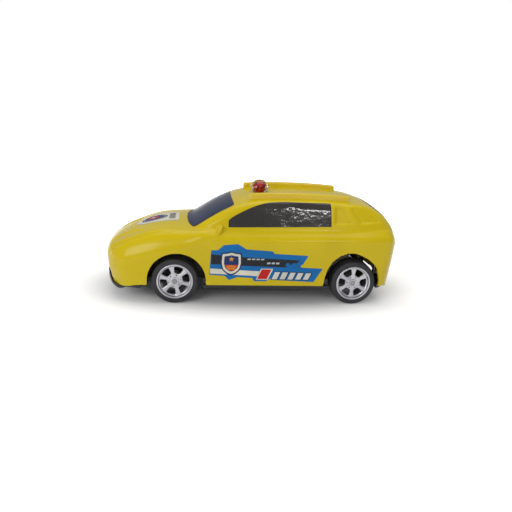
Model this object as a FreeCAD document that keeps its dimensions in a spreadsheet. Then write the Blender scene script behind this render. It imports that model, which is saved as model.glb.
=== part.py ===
import FreeCAD, Part

import math
import os
import re

import Sketcher
from FreeCAD import Placement, Rotation, Vector

# A pull-back toy car: a one-piece moulded shell on a black base, four wheels on two steel
# axles, and a wind-up motor round the rear axle.
# Frame: +X runs from the nose to the tail, -Y is the car's left side, +Z is up.
# The origin is on the ground, under the middle of the car.

doc = FreeCAD.newDocument("pull_back_car")

# ---------------------------------------------------------------------------------------
# Sizes, in millimetres (angles in degrees, teeth are counts)
# ---------------------------------------------------------------------------------------

SIZES = {
    # overall
    "wheelbase": 94.0,
    "nose_overhang": 36.5,
    "tail_overhang": 24.5,
    "body_half_width": 31.0,
    "body_wall": 1.5,
    # heights of the shell
    "sill_height": 11.0,
    "nose_tip_height": 27.5,
    "hood_height": 40.7,
    "shoulder_height": 34.5,
    "belt_height": 40.2,
    "roof_height": 55.4,
    "tail_bulge_height": 34.0,
    # the cabin
    "belt_inset": 4.0,
    "roof_inset": 7.8,
    "cowl_behind_front_axle": 9.5,
    "screen_top_behind_front_axle": 30.5,
    "roof_end_before_rear_axle": 5.0,
    "tailgate_top_behind_rear_axle": 13.5,
    # wheel arches
    "front_arch_radius": 14.9,
    "front_arch_lead": 0.9,
    "front_arch_lift": 0.7,
    "rear_arch_front": 16.8,
    "rear_arch_back": 13.6,
    "rear_arch_top": 29.3,
    # roof rails and mirrors
    "rail_offset": 17.2,
    "rail_width": 3.2,
    "rail_length": 53.8,
    "rail_front_behind_front_axle": 37.1,
    "rail_end_height": 56.6,
    "rail_crown": 1.1,
    "mirror_radius": 1.9,
    "mirror_behind_front_axle": 22.4,
    # wheels and axles
    "tyre_radius": 12.0,
    "tyre_width": 9.5,
    "tyre_shoulder": 1.6,
    "wheel_inset": 2.0,
    "rim_radius": 9.3,
    "rim_barrel": 0.8,
    "rim_face_depth": 0.9,
    "rim_face_thickness": 1.6,
    "rim_hub_radius": 2.9,
    "rim_spokes": 6,
    "spoke_window_inner": 3.7,
    "spoke_window_outer": 7.0,
    "spoke_window_half_angle": 21.0,
    "spoke_window_corner": 0.5,
    "lug_circle_radius": 2.3,
    "lug_hole_radius": 0.35,
    "front_wheel_phase": 14.0,
    "rear_wheel_phase": 0.0,
    "axle_radius": 1.0,
    "axle_end_recess": 1.0,
    "washer_radius": 2.2,
    "washer_thickness": 0.6,
    # fits
    "running_clearance": 0.05,
    "press_clearance": 0.02,
    "loose_clearance": 0.3,
    # chassis
    "chassis_thickness": 3.0,
    "chassis_flange": 0.6,
    "chassis_inset": 3.5,
    "chassis_edge_step": 0.6,
    "chassis_tail_step": 5.8,
    "chassis_lip_length": 19.0,
    "chassis_lip_depth": 6.4,
    "chassis_upstand": 3.2,
    "chassis_upstand_wall": 1.2,
    "wheel_well_half_length": 14.2,
    "wheel_well_margin": 1.0,
    # screws that hold the shell
    "screw_nose_inset": 15.5,
    "screw_tail_inset": 8.5,
    "screw_offset": 14.5,
    "screw_radius": 1.2,
    "screw_head_radius": 2.2,
    "screw_head_height": 1.3,
    "screw_length": 8.0,
    "screw_boss_radius": 3.4,
    "screw_boss_height": 12.6,
    "screw_floor": 1.5,
    "shell_post_radius": 2.7,
    # front axle block and keeper
    "axle_block_length": 17.0,
    "axle_block_half_width": 15.5,
    "keeper_thickness": 1.8,
    "keeper_screw_spacing": 5.6,
    "keeper_screw_offset": 10.0,
    # small screws inside
    "small_screw_radius": 0.9,
    "small_head_radius": 1.7,
    "small_head_height": 1.0,
    "small_screw_length": 4.0,
    # motor gears
    "gear_module": 0.5,
    "pinion_teeth": 10,
    "idler_teeth": 24,
    "spring_gear_teeth": 30,
    "gear_backlash": 0.14,
    "idler_rise": 4.0,
    "spring_gear_rise": 2.8,
    "gear_face": 3.0,
    "shaft_radius": 0.75,
    "arbor_radius": 1.2,
    "barrel_radius": 7.3,
    "barrel_wall": 0.8,
    "spring_turns": 5,
    "spring_thickness": 0.25,
    "spring_width": 4.6,
    # motor case
    "case_half_width": 8.5,
    "case_wall": 1.0,
    "case_floor": 0.75,
    "case_clearance": 0.5,
    "case_ear": 4.4,
    "case_ear_thickness": 1.8,
    # beacon
    "beacon_behind_front_axle": 44.6,
    "beacon_radius": 5.15,
    "beacon_base_radius": 3.6,
    "beacon_girdle": 2.9,
    "beacon_height": 6.7,
    "beacon_wall": 0.9,
    "beacon_stem_radius": 2.0,
    "beacon_stem_length": 4.0,
    # films and labels
    "film_thickness": 0.2,
    "side_window_front": 26.4,
    "side_window_length": 52.9,
    "side_window_height": 13.4,
    "side_label_front": 17.4,
    "side_label_length": 58.7,
    "side_label_bottom": 13.4,
    "side_label_height": 19.8,
    "hood_label_front": 22.0,
    "hood_label_length": 23.0,
    "hood_label_half_width": 10.5,
    "screen_half_width": 23.0,
    "screen_top_half_width": 18.6,
    "screen_margin": 2.2,
    "screen_corner": 3.0,
    "rear_window_half_width": 17.5,
    "rear_window_margin": 0.6,
}

sheet = doc.addObject("Spreadsheet::Sheet", "sizes")
for row, (alias, value) in enumerate(SIZES.items(), start=1):
    sheet.set("A%d" % row, alias)
    sheet.set("B%d" % row, str(value))
    sheet.setAlias("B%d" % row, alias)
doc.recompute()


class Values:
    """The sheet's cells, read as plain numbers."""

    def __getattr__(self, alias):
        return float(sheet.get(alias))


v = Values()


def bind(thing, target, text):
    """Binds one property to a formula whose words are aliases of the sheet."""
    thing.setExpression(target, re.sub(r"\b([a-z]\w*_\w+|wheelbase)\b", r"sizes.\1", text))


# Places that follow from the sizes. Each is a formula, so that bound objects can use it too.
LENGTH = "(wheelbase + nose_overhang + tail_overhang)"
FRONT_AXLE_X = "(nose_overhang - %s / 2)" % LENGTH
REAR_AXLE_X = "(%s / 2 - tail_overhang)" % LENGTH

half_length = (v.wheelbase + v.nose_overhang + v.tail_overhang) / 2
nose_x = -half_length
tail_x = half_length
front_x = nose_x + v.nose_overhang
rear_x = tail_x - v.tail_overhang
axle_z = v.tyre_radius
chassis_bottom = v.sill_height - v.chassis_thickness

parts = {}


def keep(node, thing):
    """Files an object under the name of the piece it is."""
    thing.Label = node
    parts[node] = thing
    return thing


def feature(node, shape):
    """A piece whose shape is worked out in code."""
    thing = doc.addObject("Part::Feature", node)
    thing.Shape = shape
    thing.Placement = Placement()
    return keep(node, thing)


# ---------------------------------------------------------------------------------------
# Outlines with rounded corners
# ---------------------------------------------------------------------------------------

PLANES = {
    "XY": lambda a, b: Vector(a, b, 0),
    "XZ": lambda a, b: Vector(a, 0, b),
    "YZ": lambda a, b: Vector(0, a, b),
}
NORMALS = {"XY": Vector(0, 0, 1), "XZ": Vector(0, 1, 0), "YZ": Vector(1, 0, 0)}


def corner(points, index):
    """The unit directions into and out of one corner, and its turn (left is positive)."""
    a0, b0 = points[index - 1][:2]
    a1, b1 = points[index][:2]
    a2, b2 = points[(index + 1) % len(points)][:2]
    come = Vector(a1 - a0, b1 - b0, 0).normalize()
    go = Vector(a2 - a1, b2 - b1, 0).normalize()
    return come, go, come.cross(go).z


def grown(points, distance):
    """The same outline, given anticlockwise, moved outwards by a distance."""
    result = []
    for index, (a, b, radius) in enumerate(points):
        come, go, turn = corner(points, index)
        out = Vector(come.y, -come.x, 0) + Vector(go.y, -go.x, 0)
        out = out * (distance / (1 + come.dot(go)))
        new_radius = max(radius + math.copysign(distance, turn), 0.0)
        result.append((a + out.x, b + out.y, new_radius))
    return result


def face(points, plane):
    """A flat face of straight runs, joined by tangent arcs of each corner's radius.

    An arc never takes more than half of a run beside it."""
    place = PLANES[plane]
    ends = []
    for index, (a, b, radius) in enumerate(points):
        come, go, _ = corner(points, index)
        here = Vector(a, b, 0)
        half_turn = math.acos(max(-1.0, min(1.0, come.dot(go)))) / 2
        before = math.dist((a, b), points[index - 1][:2])
        after = math.dist((a, b), points[(index + 1) % len(points)][:2])
        reach = min(radius * math.tan(half_turn), 0.49 * before, 0.49 * after)
        if reach < 1e-6:
            ends.append((here, here, here))
            continue
        radius = reach / math.tan(half_turn)
        middle = here + (go - come).normalize() * (radius / math.cos(half_turn) - radius)
        ends.append((here - come * reach, middle, here + go * reach))
    edges = []
    for index, (start, middle, end) in enumerate(ends):
        last = ends[index - 1][2]
        if last.distanceToPoint(start) > 1e-6:
            edges.append(Part.LineSegment(place(last.x, last.y), place(start.x, start.y)).toShape())
        if start.distanceToPoint(end) > 1e-6:
            arc = Part.Arc(place(start.x, start.y), place(middle.x, middle.y), place(end.x, end.y))
            edges.append(arc.toShape())
    return Part.Face(Part.Wire(edges))


def prism(points, plane, low, high):
    """An outline made solid between two distances along its plane's normal."""
    flat = face(points, plane)
    flat.translate(NORMALS[plane] * low)
    return flat.extrude(NORMALS[plane] * (high - low))


def mirrored(points):
    """Adds the other half of an outline that is symmetric about its first axis (b = 0)."""
    return points + [(a, -b, radius) for a, b, radius in reversed(points)]


def box(x0, x1, y0, y1, z0, z1):
    return Part.makeBox(x1 - x0, y1 - y0, z1 - z0, Vector(x0, y0, z0))


def rod(radius, start, end):
    """A solid cylinder between two points."""
    way = end - start
    return Part.makeCylinder(radius, way.Length, start, way)


# ---------------------------------------------------------------------------------------
# The shell: three views of the car, each made solid, and what they have in common
# ---------------------------------------------------------------------------------------

FAR = 20.0  # how far a cutter runs past what it cuts


def shell_bottom():
    """The shell's lower edge and the chassis's upper one, from the nose to the tail."""
    return [
        (nose_x + 1.3, v.sill_height + 2.4, 0.5),
        (nose_x + 4.0, v.sill_height - 1.7, 4.0),
        (nose_x + 9.0, v.sill_height - 2.8, 6.0),
        (nose_x + 18.0, v.sill_height - 0.7, 12.0),
        (front_x, v.sill_height, 30.0),
        (tail_x - 3.2, v.sill_height, 1.0),
    ]


def side_outline(drop=0.0):
    """The side view. The cavity's copy has its lower edge dropped, to leave it open."""
    cowl_x = front_x + v.cowl_behind_front_axle
    screen_x = front_x + v.screen_top_behind_front_axle
    roof_end_x = rear_x - v.roof_end_before_rear_axle
    tailgate_x = rear_x + v.tailgate_top_behind_rear_axle
    roof_middle_x = (screen_x + roof_end_x) / 2
    lower = [(x, z - drop, radius) for x, z, radius in shell_bottom()]
    return lower + [
        (tail_x, v.tail_bulge_height, 7.0),
        (tail_x - 2.2, v.belt_height + 0.6, 6.0),
        (tailgate_x, v.roof_height - 4.6, 12.0),
        (roof_end_x, v.roof_height - 0.5, 40.0),
        (roof_middle_x, v.roof_height, 200.0),
        (screen_x, v.roof_height - 1.8, 18.0),
        (cowl_x, v.hood_height, 12.0),
        (front_x - 8.0, v.hood_height - 0.5, 40.0),
        (nose_x + 10.5, v.nose_tip_height + 6.9, 26.0),
        (nose_x + 0.9, v.nose_tip_height + 2.0, 2.5),
        (nose_x, v.nose_tip_height - 2.5, 3.0),
    ]


def plan_outline():
    """The top view."""
    half = v.body_half_width
    return mirrored([
        (tail_x, half - 20.0, 40.0),
        (tail_x - 2.8, half - 5.2, 8.0),
        (rear_x + 8.0, half, 30.0),
        (front_x - 9.0, half, 50.0),
        (nose_x + 4.5, half - 6.5, 9.0),
        (nose_x, half - 20.0, 25.0),
    ])


def front_outline():
    """The front view: upright sides, a rounded shoulder, leaning windows, a crowned roof."""
    half = v.body_half_width
    top = v.roof_height
    right = [
        (half - 0.8, 0.0, 0.0),
        (half, v.sill_height + 7.0, 60.0),
        (half, v.shoulder_height, 5.0),
        (half - v.belt_inset + 0.6, v.belt_height - 1.2, 2.0),
        (half - v.belt_inset, v.belt_height, 0.0),
        (half - v.roof_inset, top - 1.1, 2.5),
        (half - 18.0, top + 0.05, 30.0),
    ]
    left = [(-y, z, radius) for y, z, radius in reversed(right)]
    return right + left


def body_block(growth, drop=0.0):
    """The body as one solid, larger by a distance all round."""
    wide = v.body_half_width + FAR
    side = prism(grown(side_outline(drop), growth), "XZ", -wide, wide)
    plan = prism(grown(plan_outline(), growth), "XY", -FAR, v.roof_height + FAR)
    front = prism(grown(front_outline(), growth), "YZ", nose_x - FAR, tail_x + FAR)
    return side.common(plan).common(front)


def rail(sign):
    """One roof rail: a rib whose top is a long arc."""
    x0 = front_x + v.rail_front_behind_front_axle
    x1 = x0 + v.rail_length
    foot = v.roof_height - v.body_wall
    high = v.rail_end_height
    ends = [Vector(x0, 0, foot), Vector(x0, 0, high), Vector(x1, 0, high), Vector(x1, 0, foot)]
    top = Part.Arc(ends[1], Vector((x0 + x1) / 2, 0, high + v.rail_crown), ends[2]).toShape()
    runs = [Part.LineSegment(ends[a], ends[b]).toShape() for a, b in ((0, 1), (2, 3), (3, 0))]
    flat = Part.Face(Part.Wire([runs[0], top, runs[1], runs[2]]))
    flat.translate(Vector(0, sign * v.rail_offset - v.rail_width / 2, 0))
    solid = flat.extrude(Vector(0, v.rail_width, 0))
    crests = [edge for edge in solid.Edges if isinstance(edge.Curve, Part.Circle)]
    return solid.makeFillet(0.3 * v.rail_width, crests)


def mirror(sign):
    """One mirror: a small moulded ear at the foot of the windscreen pillar."""
    x = front_x + v.mirror_behind_front_axle
    y = sign * (v.body_half_width - v.belt_inset + 0.6)
    return Part.makeSphere(v.mirror_radius, Vector(x, y, v.belt_height - 0.6))


def front_arch():
    """The round front wheel opening, open at the bottom."""
    x = front_x + v.front_arch_lead
    z = axle_z + v.front_arch_lift
    wide = v.body_half_width + FAR
    hole = rod(v.front_arch_radius, Vector(x, -wide, z), Vector(x, wide, z))
    slot = box(x - v.front_arch_radius, x + v.front_arch_radius, -wide, wide, 0, z)
    return hole.fuse(slot)


def rear_arch():
    """The rear wheel opening: a flat top that falls away in a straight line to the back."""
    top = v.rear_arch_top
    start = rear_x - v.rear_arch_front
    end = rear_x + v.rear_arch_back
    wide = v.body_half_width + FAR
    outline = [
        (start, 0.0, 0.0), (end, 0.0, 0.0), (end, top - 13.5, 6.0), (end - 2.2, top - 6.4, 2.5),
        (rear_x + 0.8, top, 4.0), (rear_x - 9.0, top, 8.0), (start, top - 11.5, 9.0),
    ]
    return prism(outline, "XZ", -wide, wide)


def screw_places():
    """Where the four shell screws stand."""
    xs = (nose_x + v.screw_nose_inset, tail_x - v.screw_tail_inset)
    return [Vector(x, sign * v.screw_offset, 0) for x in xs for sign in (-1, 1)]


def beacon_place():
    """The foot of the beacon, on a flat seat cut into the roof."""
    x = front_x + v.beacon_behind_front_axle
    return Vector(x, 0, v.roof_height - 1.0)


def make_body_shell():
    outer = body_block(0.0)
    cavity = body_block(-v.body_wall, drop=FAR)
    shell = outer.cut(cavity)
    for sign in (-1, 1):
        shell = shell.fuse(rail(sign).cut(body_block(-v.body_wall / 2)))
        shell = shell.fuse(mirror(sign).cut(body_block(-v.body_wall / 2)))
    shell = shell.cut(front_arch()).cut(rear_arch())
    inside = body_block(-v.body_wall / 2)
    for place in screw_places():
        foot = place + Vector(0, 0, v.screw_boss_height)
        post = rod(v.shell_post_radius, foot, place + Vector(0, 0, v.roof_height))
        shell = shell.fuse(post.common(inside))
        depth = v.screw_length - v.screw_floor + 1.0
        shell = shell.cut(rod(v.screw_radius + v.press_clearance, foot, foot + Vector(0, 0, depth)))
    seat = beacon_place()
    up = Vector(0, 0, FAR)
    shell = shell.cut(rod(v.beacon_base_radius + v.loose_clearance, seat, seat + up))
    shell = shell.cut(rod(v.beacon_stem_radius + v.press_clearance, seat - up * 0.5, seat + up))
    feature("body_shell", shell)


make_body_shell()


# ---------------------------------------------------------------------------------------
# Films: the windows and labels, each a thin skin on the shell
# ---------------------------------------------------------------------------------------

def skin(node, cutter):
    """The part of a thin layer over the shell that lies inside a cutter."""
    layer = body_block(v.film_thickness).common(cutter)
    feature(node, layer.cut(body_block(0.0)))


def side_window_outline():
    x0 = front_x + v.side_window_front
    x1 = x0 + v.side_window_length
    z0 = v.belt_height + 0.4
    z1 = z0 + v.side_window_height
    return [(x0, z0, 0.4), (x1, z0, 0.4), (x1, z1, 0.4), (x0 + 19.0, z1, 12.0), (x0, z0 + 4.4, 1.0)]


def side_label_outline():
    """The label's stepped outline, larger at the front and ending in a slanted tab."""
    x0 = front_x + v.side_label_front
    x1 = x0 + v.side_label_length
    z0 = v.side_label_bottom
    z1 = z0 + v.side_label_height
    return [
        (x0, z0 + 3.1, 0.2), (x0 + 8.2, z0 + 2.6, 0.2), (x0 + 10.2, z0 + 0.4, 0.2),
        (x0 + 14.4, z0 + 1.6, 0.2), (x0 + 22.4, z0 + 1.4, 0.2), (x0 + 23.3, z0, 0.2),
        (x0 + 29.9, z0 + 0.1, 0.2), (x0 + 33.3, z0 + 0.9, 0.2), (x1 - 3.8, z0 + 0.2, 0.2),
        (x1, z0 + 7.3, 0.2), (x1 - 10.8, z0 + 7.9, 0.2), (x1 - 12.2, z0 + 9.0, 0.2),
        (x1 - 7.8, z0 + 14.2, 0.2), (x1 - 25.8, z0 + 15.2, 0.2), (x1 - 26.8, z0 + 16.4, 0.2),
        (x0 + 18.6, z0 + 17.2, 0.2), (x0 + 14.0, z1, 0.2), (x0 + 7.1, z1 - 0.7, 0.2),
        (x0 + 3.9, z0 + 16.4, 0.2), (x0 + 0.3, z0 + 16.3, 0.2),
    ]


def screen_outline():
    """The windscreen film seen from above: wider at its foot, with rounded corners."""
    x0 = front_x + v.cowl_behind_front_axle + v.screen_margin
    x1 = front_x + v.screen_top_behind_front_axle - v.screen_margin
    return [
        (x0, -v.screen_half_width, v.screen_corner), (x1, -v.screen_top_half_width, v.screen_corner),
        (x1, v.screen_top_half_width, v.screen_corner), (x0, v.screen_half_width, v.screen_corner),
    ]


def rear_window_outline():
    """The rear window film seen from above."""
    x0 = rear_x + v.tailgate_top_behind_rear_axle + v.rear_window_margin
    x1 = tail_x - 2.2 - v.rear_window_margin
    half = v.rear_window_half_width
    return mirrored([(x1, half, 1.5), (x0, half - 1.5, 1.5)])


def hood_label_outline():
    """The hood label seen from above: a long shield with its point to the nose."""
    x0 = front_x - v.hood_label_front
    x1 = x0 + v.hood_label_length
    half = v.hood_label_half_width
    return mirrored([(x1, half, 0.5), (x0 + 5.0, half - 3.5, 4.0), (x0, 0.6, 0.2)])


def make_films():
    wide = v.body_half_width + FAR
    tall = v.roof_height + FAR
    for side, low, high in (("left", -wide, 0.0), ("right", 0.0, wide)):
        skin("side_window_" + side, prism(side_window_outline(), "XZ", low, high))
        skin("side_label_" + side, prism(side_label_outline(), "XZ", low, high))
    skin("windscreen", prism(screen_outline(), "XY", v.sill_height + FAR, tall))
    skin("rear_window", prism(rear_window_outline(), "XY", v.sill_height + FAR, tall))
    skin("hood_label", prism(hood_label_outline(), "XY", v.sill_height + FAR / 2, tall))


make_films()


# ---------------------------------------------------------------------------------------
# The chassis: a thin tray under the shell, with a nose lip, ribs, bosses and wheel wells
# ---------------------------------------------------------------------------------------

def chassis_outline():
    """The tray's side view: its upper edge is the shell's lower edge."""
    upper = list(reversed(shell_bottom()))
    return [
        (nose_x + 1.0, v.sill_height + 2.4, 0.2),
        (nose_x + 0.5, v.chassis_lip_depth + 3.2, 3.0),
        (nose_x + 8.5, v.chassis_lip_depth, 5.0),
        (nose_x + 12.0, chassis_bottom, 1.0),
        (tail_x - 3.4, chassis_bottom, 0.6),
    ] + upper


def wheel_well(x, sign):
    """The gap in the tray beside one wheel."""
    inner = v.body_half_width - v.wheel_inset - v.tyre_width - v.wheel_well_margin
    y0, y1 = sorted((sign * inner, sign * (v.body_half_width + FAR)))
    reach = v.wheel_well_half_length
    return box(x - reach, x + reach, y0, y1, 0, v.roof_height)


def gear_places():
    """The motor's two inner shafts, set at the exact distances at which the gears mesh."""
    first = v.gear_module * (v.pinion_teeth + v.idler_teeth) / 2
    second = v.gear_module * (v.pinion_teeth + v.spring_gear_teeth) / 2
    idler = Vector(rear_x - math.sqrt(first ** 2 - v.idler_rise ** 2), 0, axle_z + v.idler_rise)
    back = math.sqrt(second ** 2 - v.spring_gear_rise ** 2)
    spring = idler + Vector(-back, 0, v.spring_gear_rise)
    return idler, spring


def gear_tip(teeth):
    """A gear's outer radius. Tips are short, as on moulded gears."""
    return v.gear_module * (teeth / 2 + 0.8)


def case_outline(growth):
    """The motor case's side view: it follows the spring gear, the idler and the axle."""
    idler, spring = gear_places()
    room = v.case_clearance + v.case_wall
    big = gear_tip(v.spring_gear_teeth) + room
    end = gear_tip(v.pinion_teeth) + room + 1.6
    floor = min(chassis_bottom + 0.1, idler.z - gear_tip(v.idler_teeth) - room)
    points = [
        (spring.x - big, floor, 1.5), (rear_x + end, floor, 1.5), (rear_x + end, axle_z + end, 4.0),
        (idler.x + 3.5, spring.z + big - 1.0, 4.0), (spring.x - big, spring.z + big, 6.0),
    ]
    if growth == 0.0:
        return points
    inner = grown(points, growth)
    return [(x, max(z, floor + v.case_floor), radius) for x, z, radius in inner]


def ear_places():
    """Where the motor's two ears are screwed to the chassis."""
    idler, _ = gear_places()
    y = v.case_half_width + v.case_ear / 2
    return [Vector(idler.x - 2.0, -y, 0), Vector(idler.x - 2.0, y, 0)]


def keeper_screw_places():
    spread, y = v.keeper_screw_spacing, v.keeper_screw_offset
    return [Vector(front_x - spread, y, 0), Vector(front_x + spread, -y, 0)]


def make_chassis():
    wide = v.body_half_width + FAR
    tall = v.roof_height
    tray = prism(chassis_outline(), "XZ", -wide, wide)
    tray = tray.common(prism(grown(plan_outline(), -v.chassis_edge_step), "XY", 0, tall))
    tray = tray.common(prism(front_outline(), "YZ", nose_x - FAR, tail_x + FAR))
    # behind the nose only a thin flange reaches out under the shell's edge
    rim = prism(grown(plan_outline(), FAR), "XY", 0, v.sill_height - v.chassis_flange)
    rim = rim.cut(prism(grown(plan_outline(), -v.chassis_inset), "XY", -FAR, tall))
    tray = tray.cut(rim.common(box(nose_x + v.chassis_lip_length, tail_x + 2 * FAR, -2 * wide,
                                   2 * wide, -FAR, tall)))
    fit = v.body_wall + v.loose_clearance
    outside = prism(grown(plan_outline(), -fit), "XY", v.sill_height - 0.5,
                    v.sill_height + v.chassis_upstand)
    inside = prism(grown(plan_outline(), -fit - v.chassis_upstand_wall), "XY", 0, tall)
    room = prism(grown(side_outline(FAR), -fit), "XZ", -wide, wide)
    room = room.common(prism(grown(front_outline(), -fit), "YZ", nose_x, tail_x))
    base = tray.fuse(outside.cut(inside).common(room))
    base = base.cut(box(tail_x - v.chassis_tail_step, tail_x + FAR, -wide, wide, -FAR, tall))
    half_block = v.axle_block_length / 2
    block_top = axle_z + v.axle_radius + 0.1
    base = base.fuse(box(front_x - half_block, front_x + half_block, -v.axle_block_half_width,
                         v.axle_block_half_width, v.sill_height - 0.5, block_top))
    down = v.sill_height - 0.5
    for place in screw_places():
        base = base.fuse(rod(v.screw_boss_radius, place + Vector(0, 0, chassis_bottom),
                             place + Vector(0, 0, v.screw_boss_height)))
    for place in ear_places():
        base = base.fuse(rod(v.case_ear / 2, place + Vector(0, 0, down),
                             place + Vector(0, 0, v.screw_boss_height)))
    for x in (front_x, rear_x):
        for sign in (-1, 1):
            base = base.cut(wheel_well(x, sign))
    bore = v.axle_radius + v.running_clearance
    axle_line = (Vector(front_x, -wide, axle_z), Vector(front_x, wide, axle_z))
    base = base.cut(rod(bore, *axle_line))
    base = base.cut(box(front_x - bore, front_x + bore, -wide, wide, axle_z, tall))
    slot = v.axle_radius + v.loose_clearance
    base = base.cut(rod(slot, Vector(rear_x, -wide, axle_z), Vector(rear_x, wide, axle_z)))
    base = base.cut(box(rear_x - slot, rear_x + slot, -wide, wide, axle_z, tall))
    for place in keeper_screw_places():
        base = base.cut(rod(v.small_screw_radius + v.press_clearance,
                            place + Vector(0, 0, block_top - v.small_screw_length), place
                            + Vector(0, 0, tall)))
    for place in screw_places():
        seat = v.screw_boss_height - v.screw_floor
        base = base.cut(rod(v.screw_head_radius + v.loose_clearance, place, place + Vector(0, 0, seat)))
        base = base.cut(rod(v.screw_radius + v.loose_clearance, place, place + Vector(0, 0, tall)))
    for place in ear_places():
        low = v.screw_boss_height - v.small_screw_length + v.case_ear_thickness
        base = base.cut(rod(v.small_screw_radius + v.press_clearance, place + Vector(0, 0, low),
                            place + Vector(0, 0, tall)))
    gap = v.loose_clearance
    window = prism(grown(case_outline(0.0), gap), "XZ", -v.case_half_width - gap,
                   v.case_half_width + gap)
    outline = window.BoundBox
    base = base.cut(box(outline.XMin, outline.XMax, outline.YMin, outline.YMax, 0, tall))
    feature("chassis", base)


make_chassis()


# ---------------------------------------------------------------------------------------
# Turned pieces: a closed outline, radius against height, spun round the Z axis
# ---------------------------------------------------------------------------------------

def closed_sketch(body, name, plane, corners):
    """A closed chain of lines, each corner held by two bound distances from the origin."""
    sketch = body.newObject("Sketcher::SketchObject", name)
    origin = [item for item in body.Origin.OriginFeatures if item.Role == plane][0]
    sketch.AttachmentSupport = [(origin, "")]
    sketch.MapMode = "FlatFace"
    guess = []
    for across, along in corners:
        numbers = [eval_size(across), eval_size(along)]
        guess.append(Vector(numbers[0], numbers[1], 0))
    for index, start in enumerate(guess):
        sketch.addGeometry(Part.LineSegment(start, guess[(index + 1) % len(guess)]))
    for index in range(len(guess)):
        sketch.addConstraint(Sketcher.Constraint("Coincident", index, 2, (index + 1) % len(guess), 1))
    for index, (across, along) in enumerate(corners):
        for kind, text, number in (("DistanceX", across, guess[index].x),
                                   ("DistanceY", along, guess[index].y)):
            held = sketch.addConstraint(Sketcher.Constraint(kind, -1, 1, index, 1, number))
            bind(sketch, "Constraints[%d]" % held, text)
    return sketch


def eval_size(text):
    """The value of one formula, worked out by the sheet itself."""
    sheet.set("D1", "=" + text)
    sheet.recompute()
    return float(sheet.get("D1"))


def turned(node, corners):
    """A PartDesign body: one outline revolved round the body's own Z axis."""
    body = doc.addObject("PartDesign::Body", node)
    sketch = closed_sketch(body, node + "_outline", "XZ_Plane", corners)
    spin = body.newObject("PartDesign::Revolution", node + "_turned")
    spin.Profile = sketch
    spin.ReferenceAxis = (sketch, ["V_Axis"])
    spin.Angle = 360.0
    body.Tip = spin
    doc.recompute()
    return keep(node, body)


# ---------------------------------------------------------------------------------------
# Wheels: a soft tyre on a six-spoke rim. Local +Z is the wheel's outer side.
# ---------------------------------------------------------------------------------------

WHEELS = [("front_left", FRONT_AXLE_X, -1), ("front_right", FRONT_AXLE_X, 1),
          ("rear_left", REAR_AXLE_X, -1), ("rear_right", REAR_AXLE_X, 1)]


def seat_wheel(thing, x_formula, sign, phase):
    """Stands a wheel piece upright at its axle, outer side out, turned by its phase."""
    upright = Rotation(Vector(1, 0, 0), 90) if sign < 0 else \
        Rotation(Vector(0, 0, 1), 180) * Rotation(Vector(1, 0, 0), 90)
    thing.Placement = Placement(Vector(), upright * Rotation(Vector(0, 0, 1), phase))
    bind(thing, "Placement.Base.x", x_formula)
    bind(thing, "Placement.Base.y", "%d * (body_half_width - wheel_inset)" % sign)
    bind(thing, "Placement.Base.z", "tyre_radius")


def make_tyre(corner_name, x_formula, sign):
    inner = "rim_radius + press_clearance"
    tyre = turned("tyre_" + corner_name, [
        (inner, "-tyre_width"), ("tyre_radius", "-tyre_width"), ("tyre_radius", "0 * tyre_width"),
        (inner, "0 * tyre_width")])
    ring = tyre.Tip
    edges = []
    for index, edge in enumerate(tyre.Shape.Edges, start=1):
        if hasattr(edge.Curve, "Radius") and abs(edge.Curve.Radius - v.tyre_radius) < 1e-6:
            edges.append("Edge%d" % index)
    rounding = tyre.newObject("PartDesign::Fillet", "shoulder_" + corner_name)
    rounding.Base = (ring, edges)
    bind(rounding, "Radius", "min(tyre_shoulder; 0.6 * (tyre_radius - rim_radius))")
    tyre.Tip = rounding
    seat_wheel(tyre, x_formula, sign, 0.0)


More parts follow.
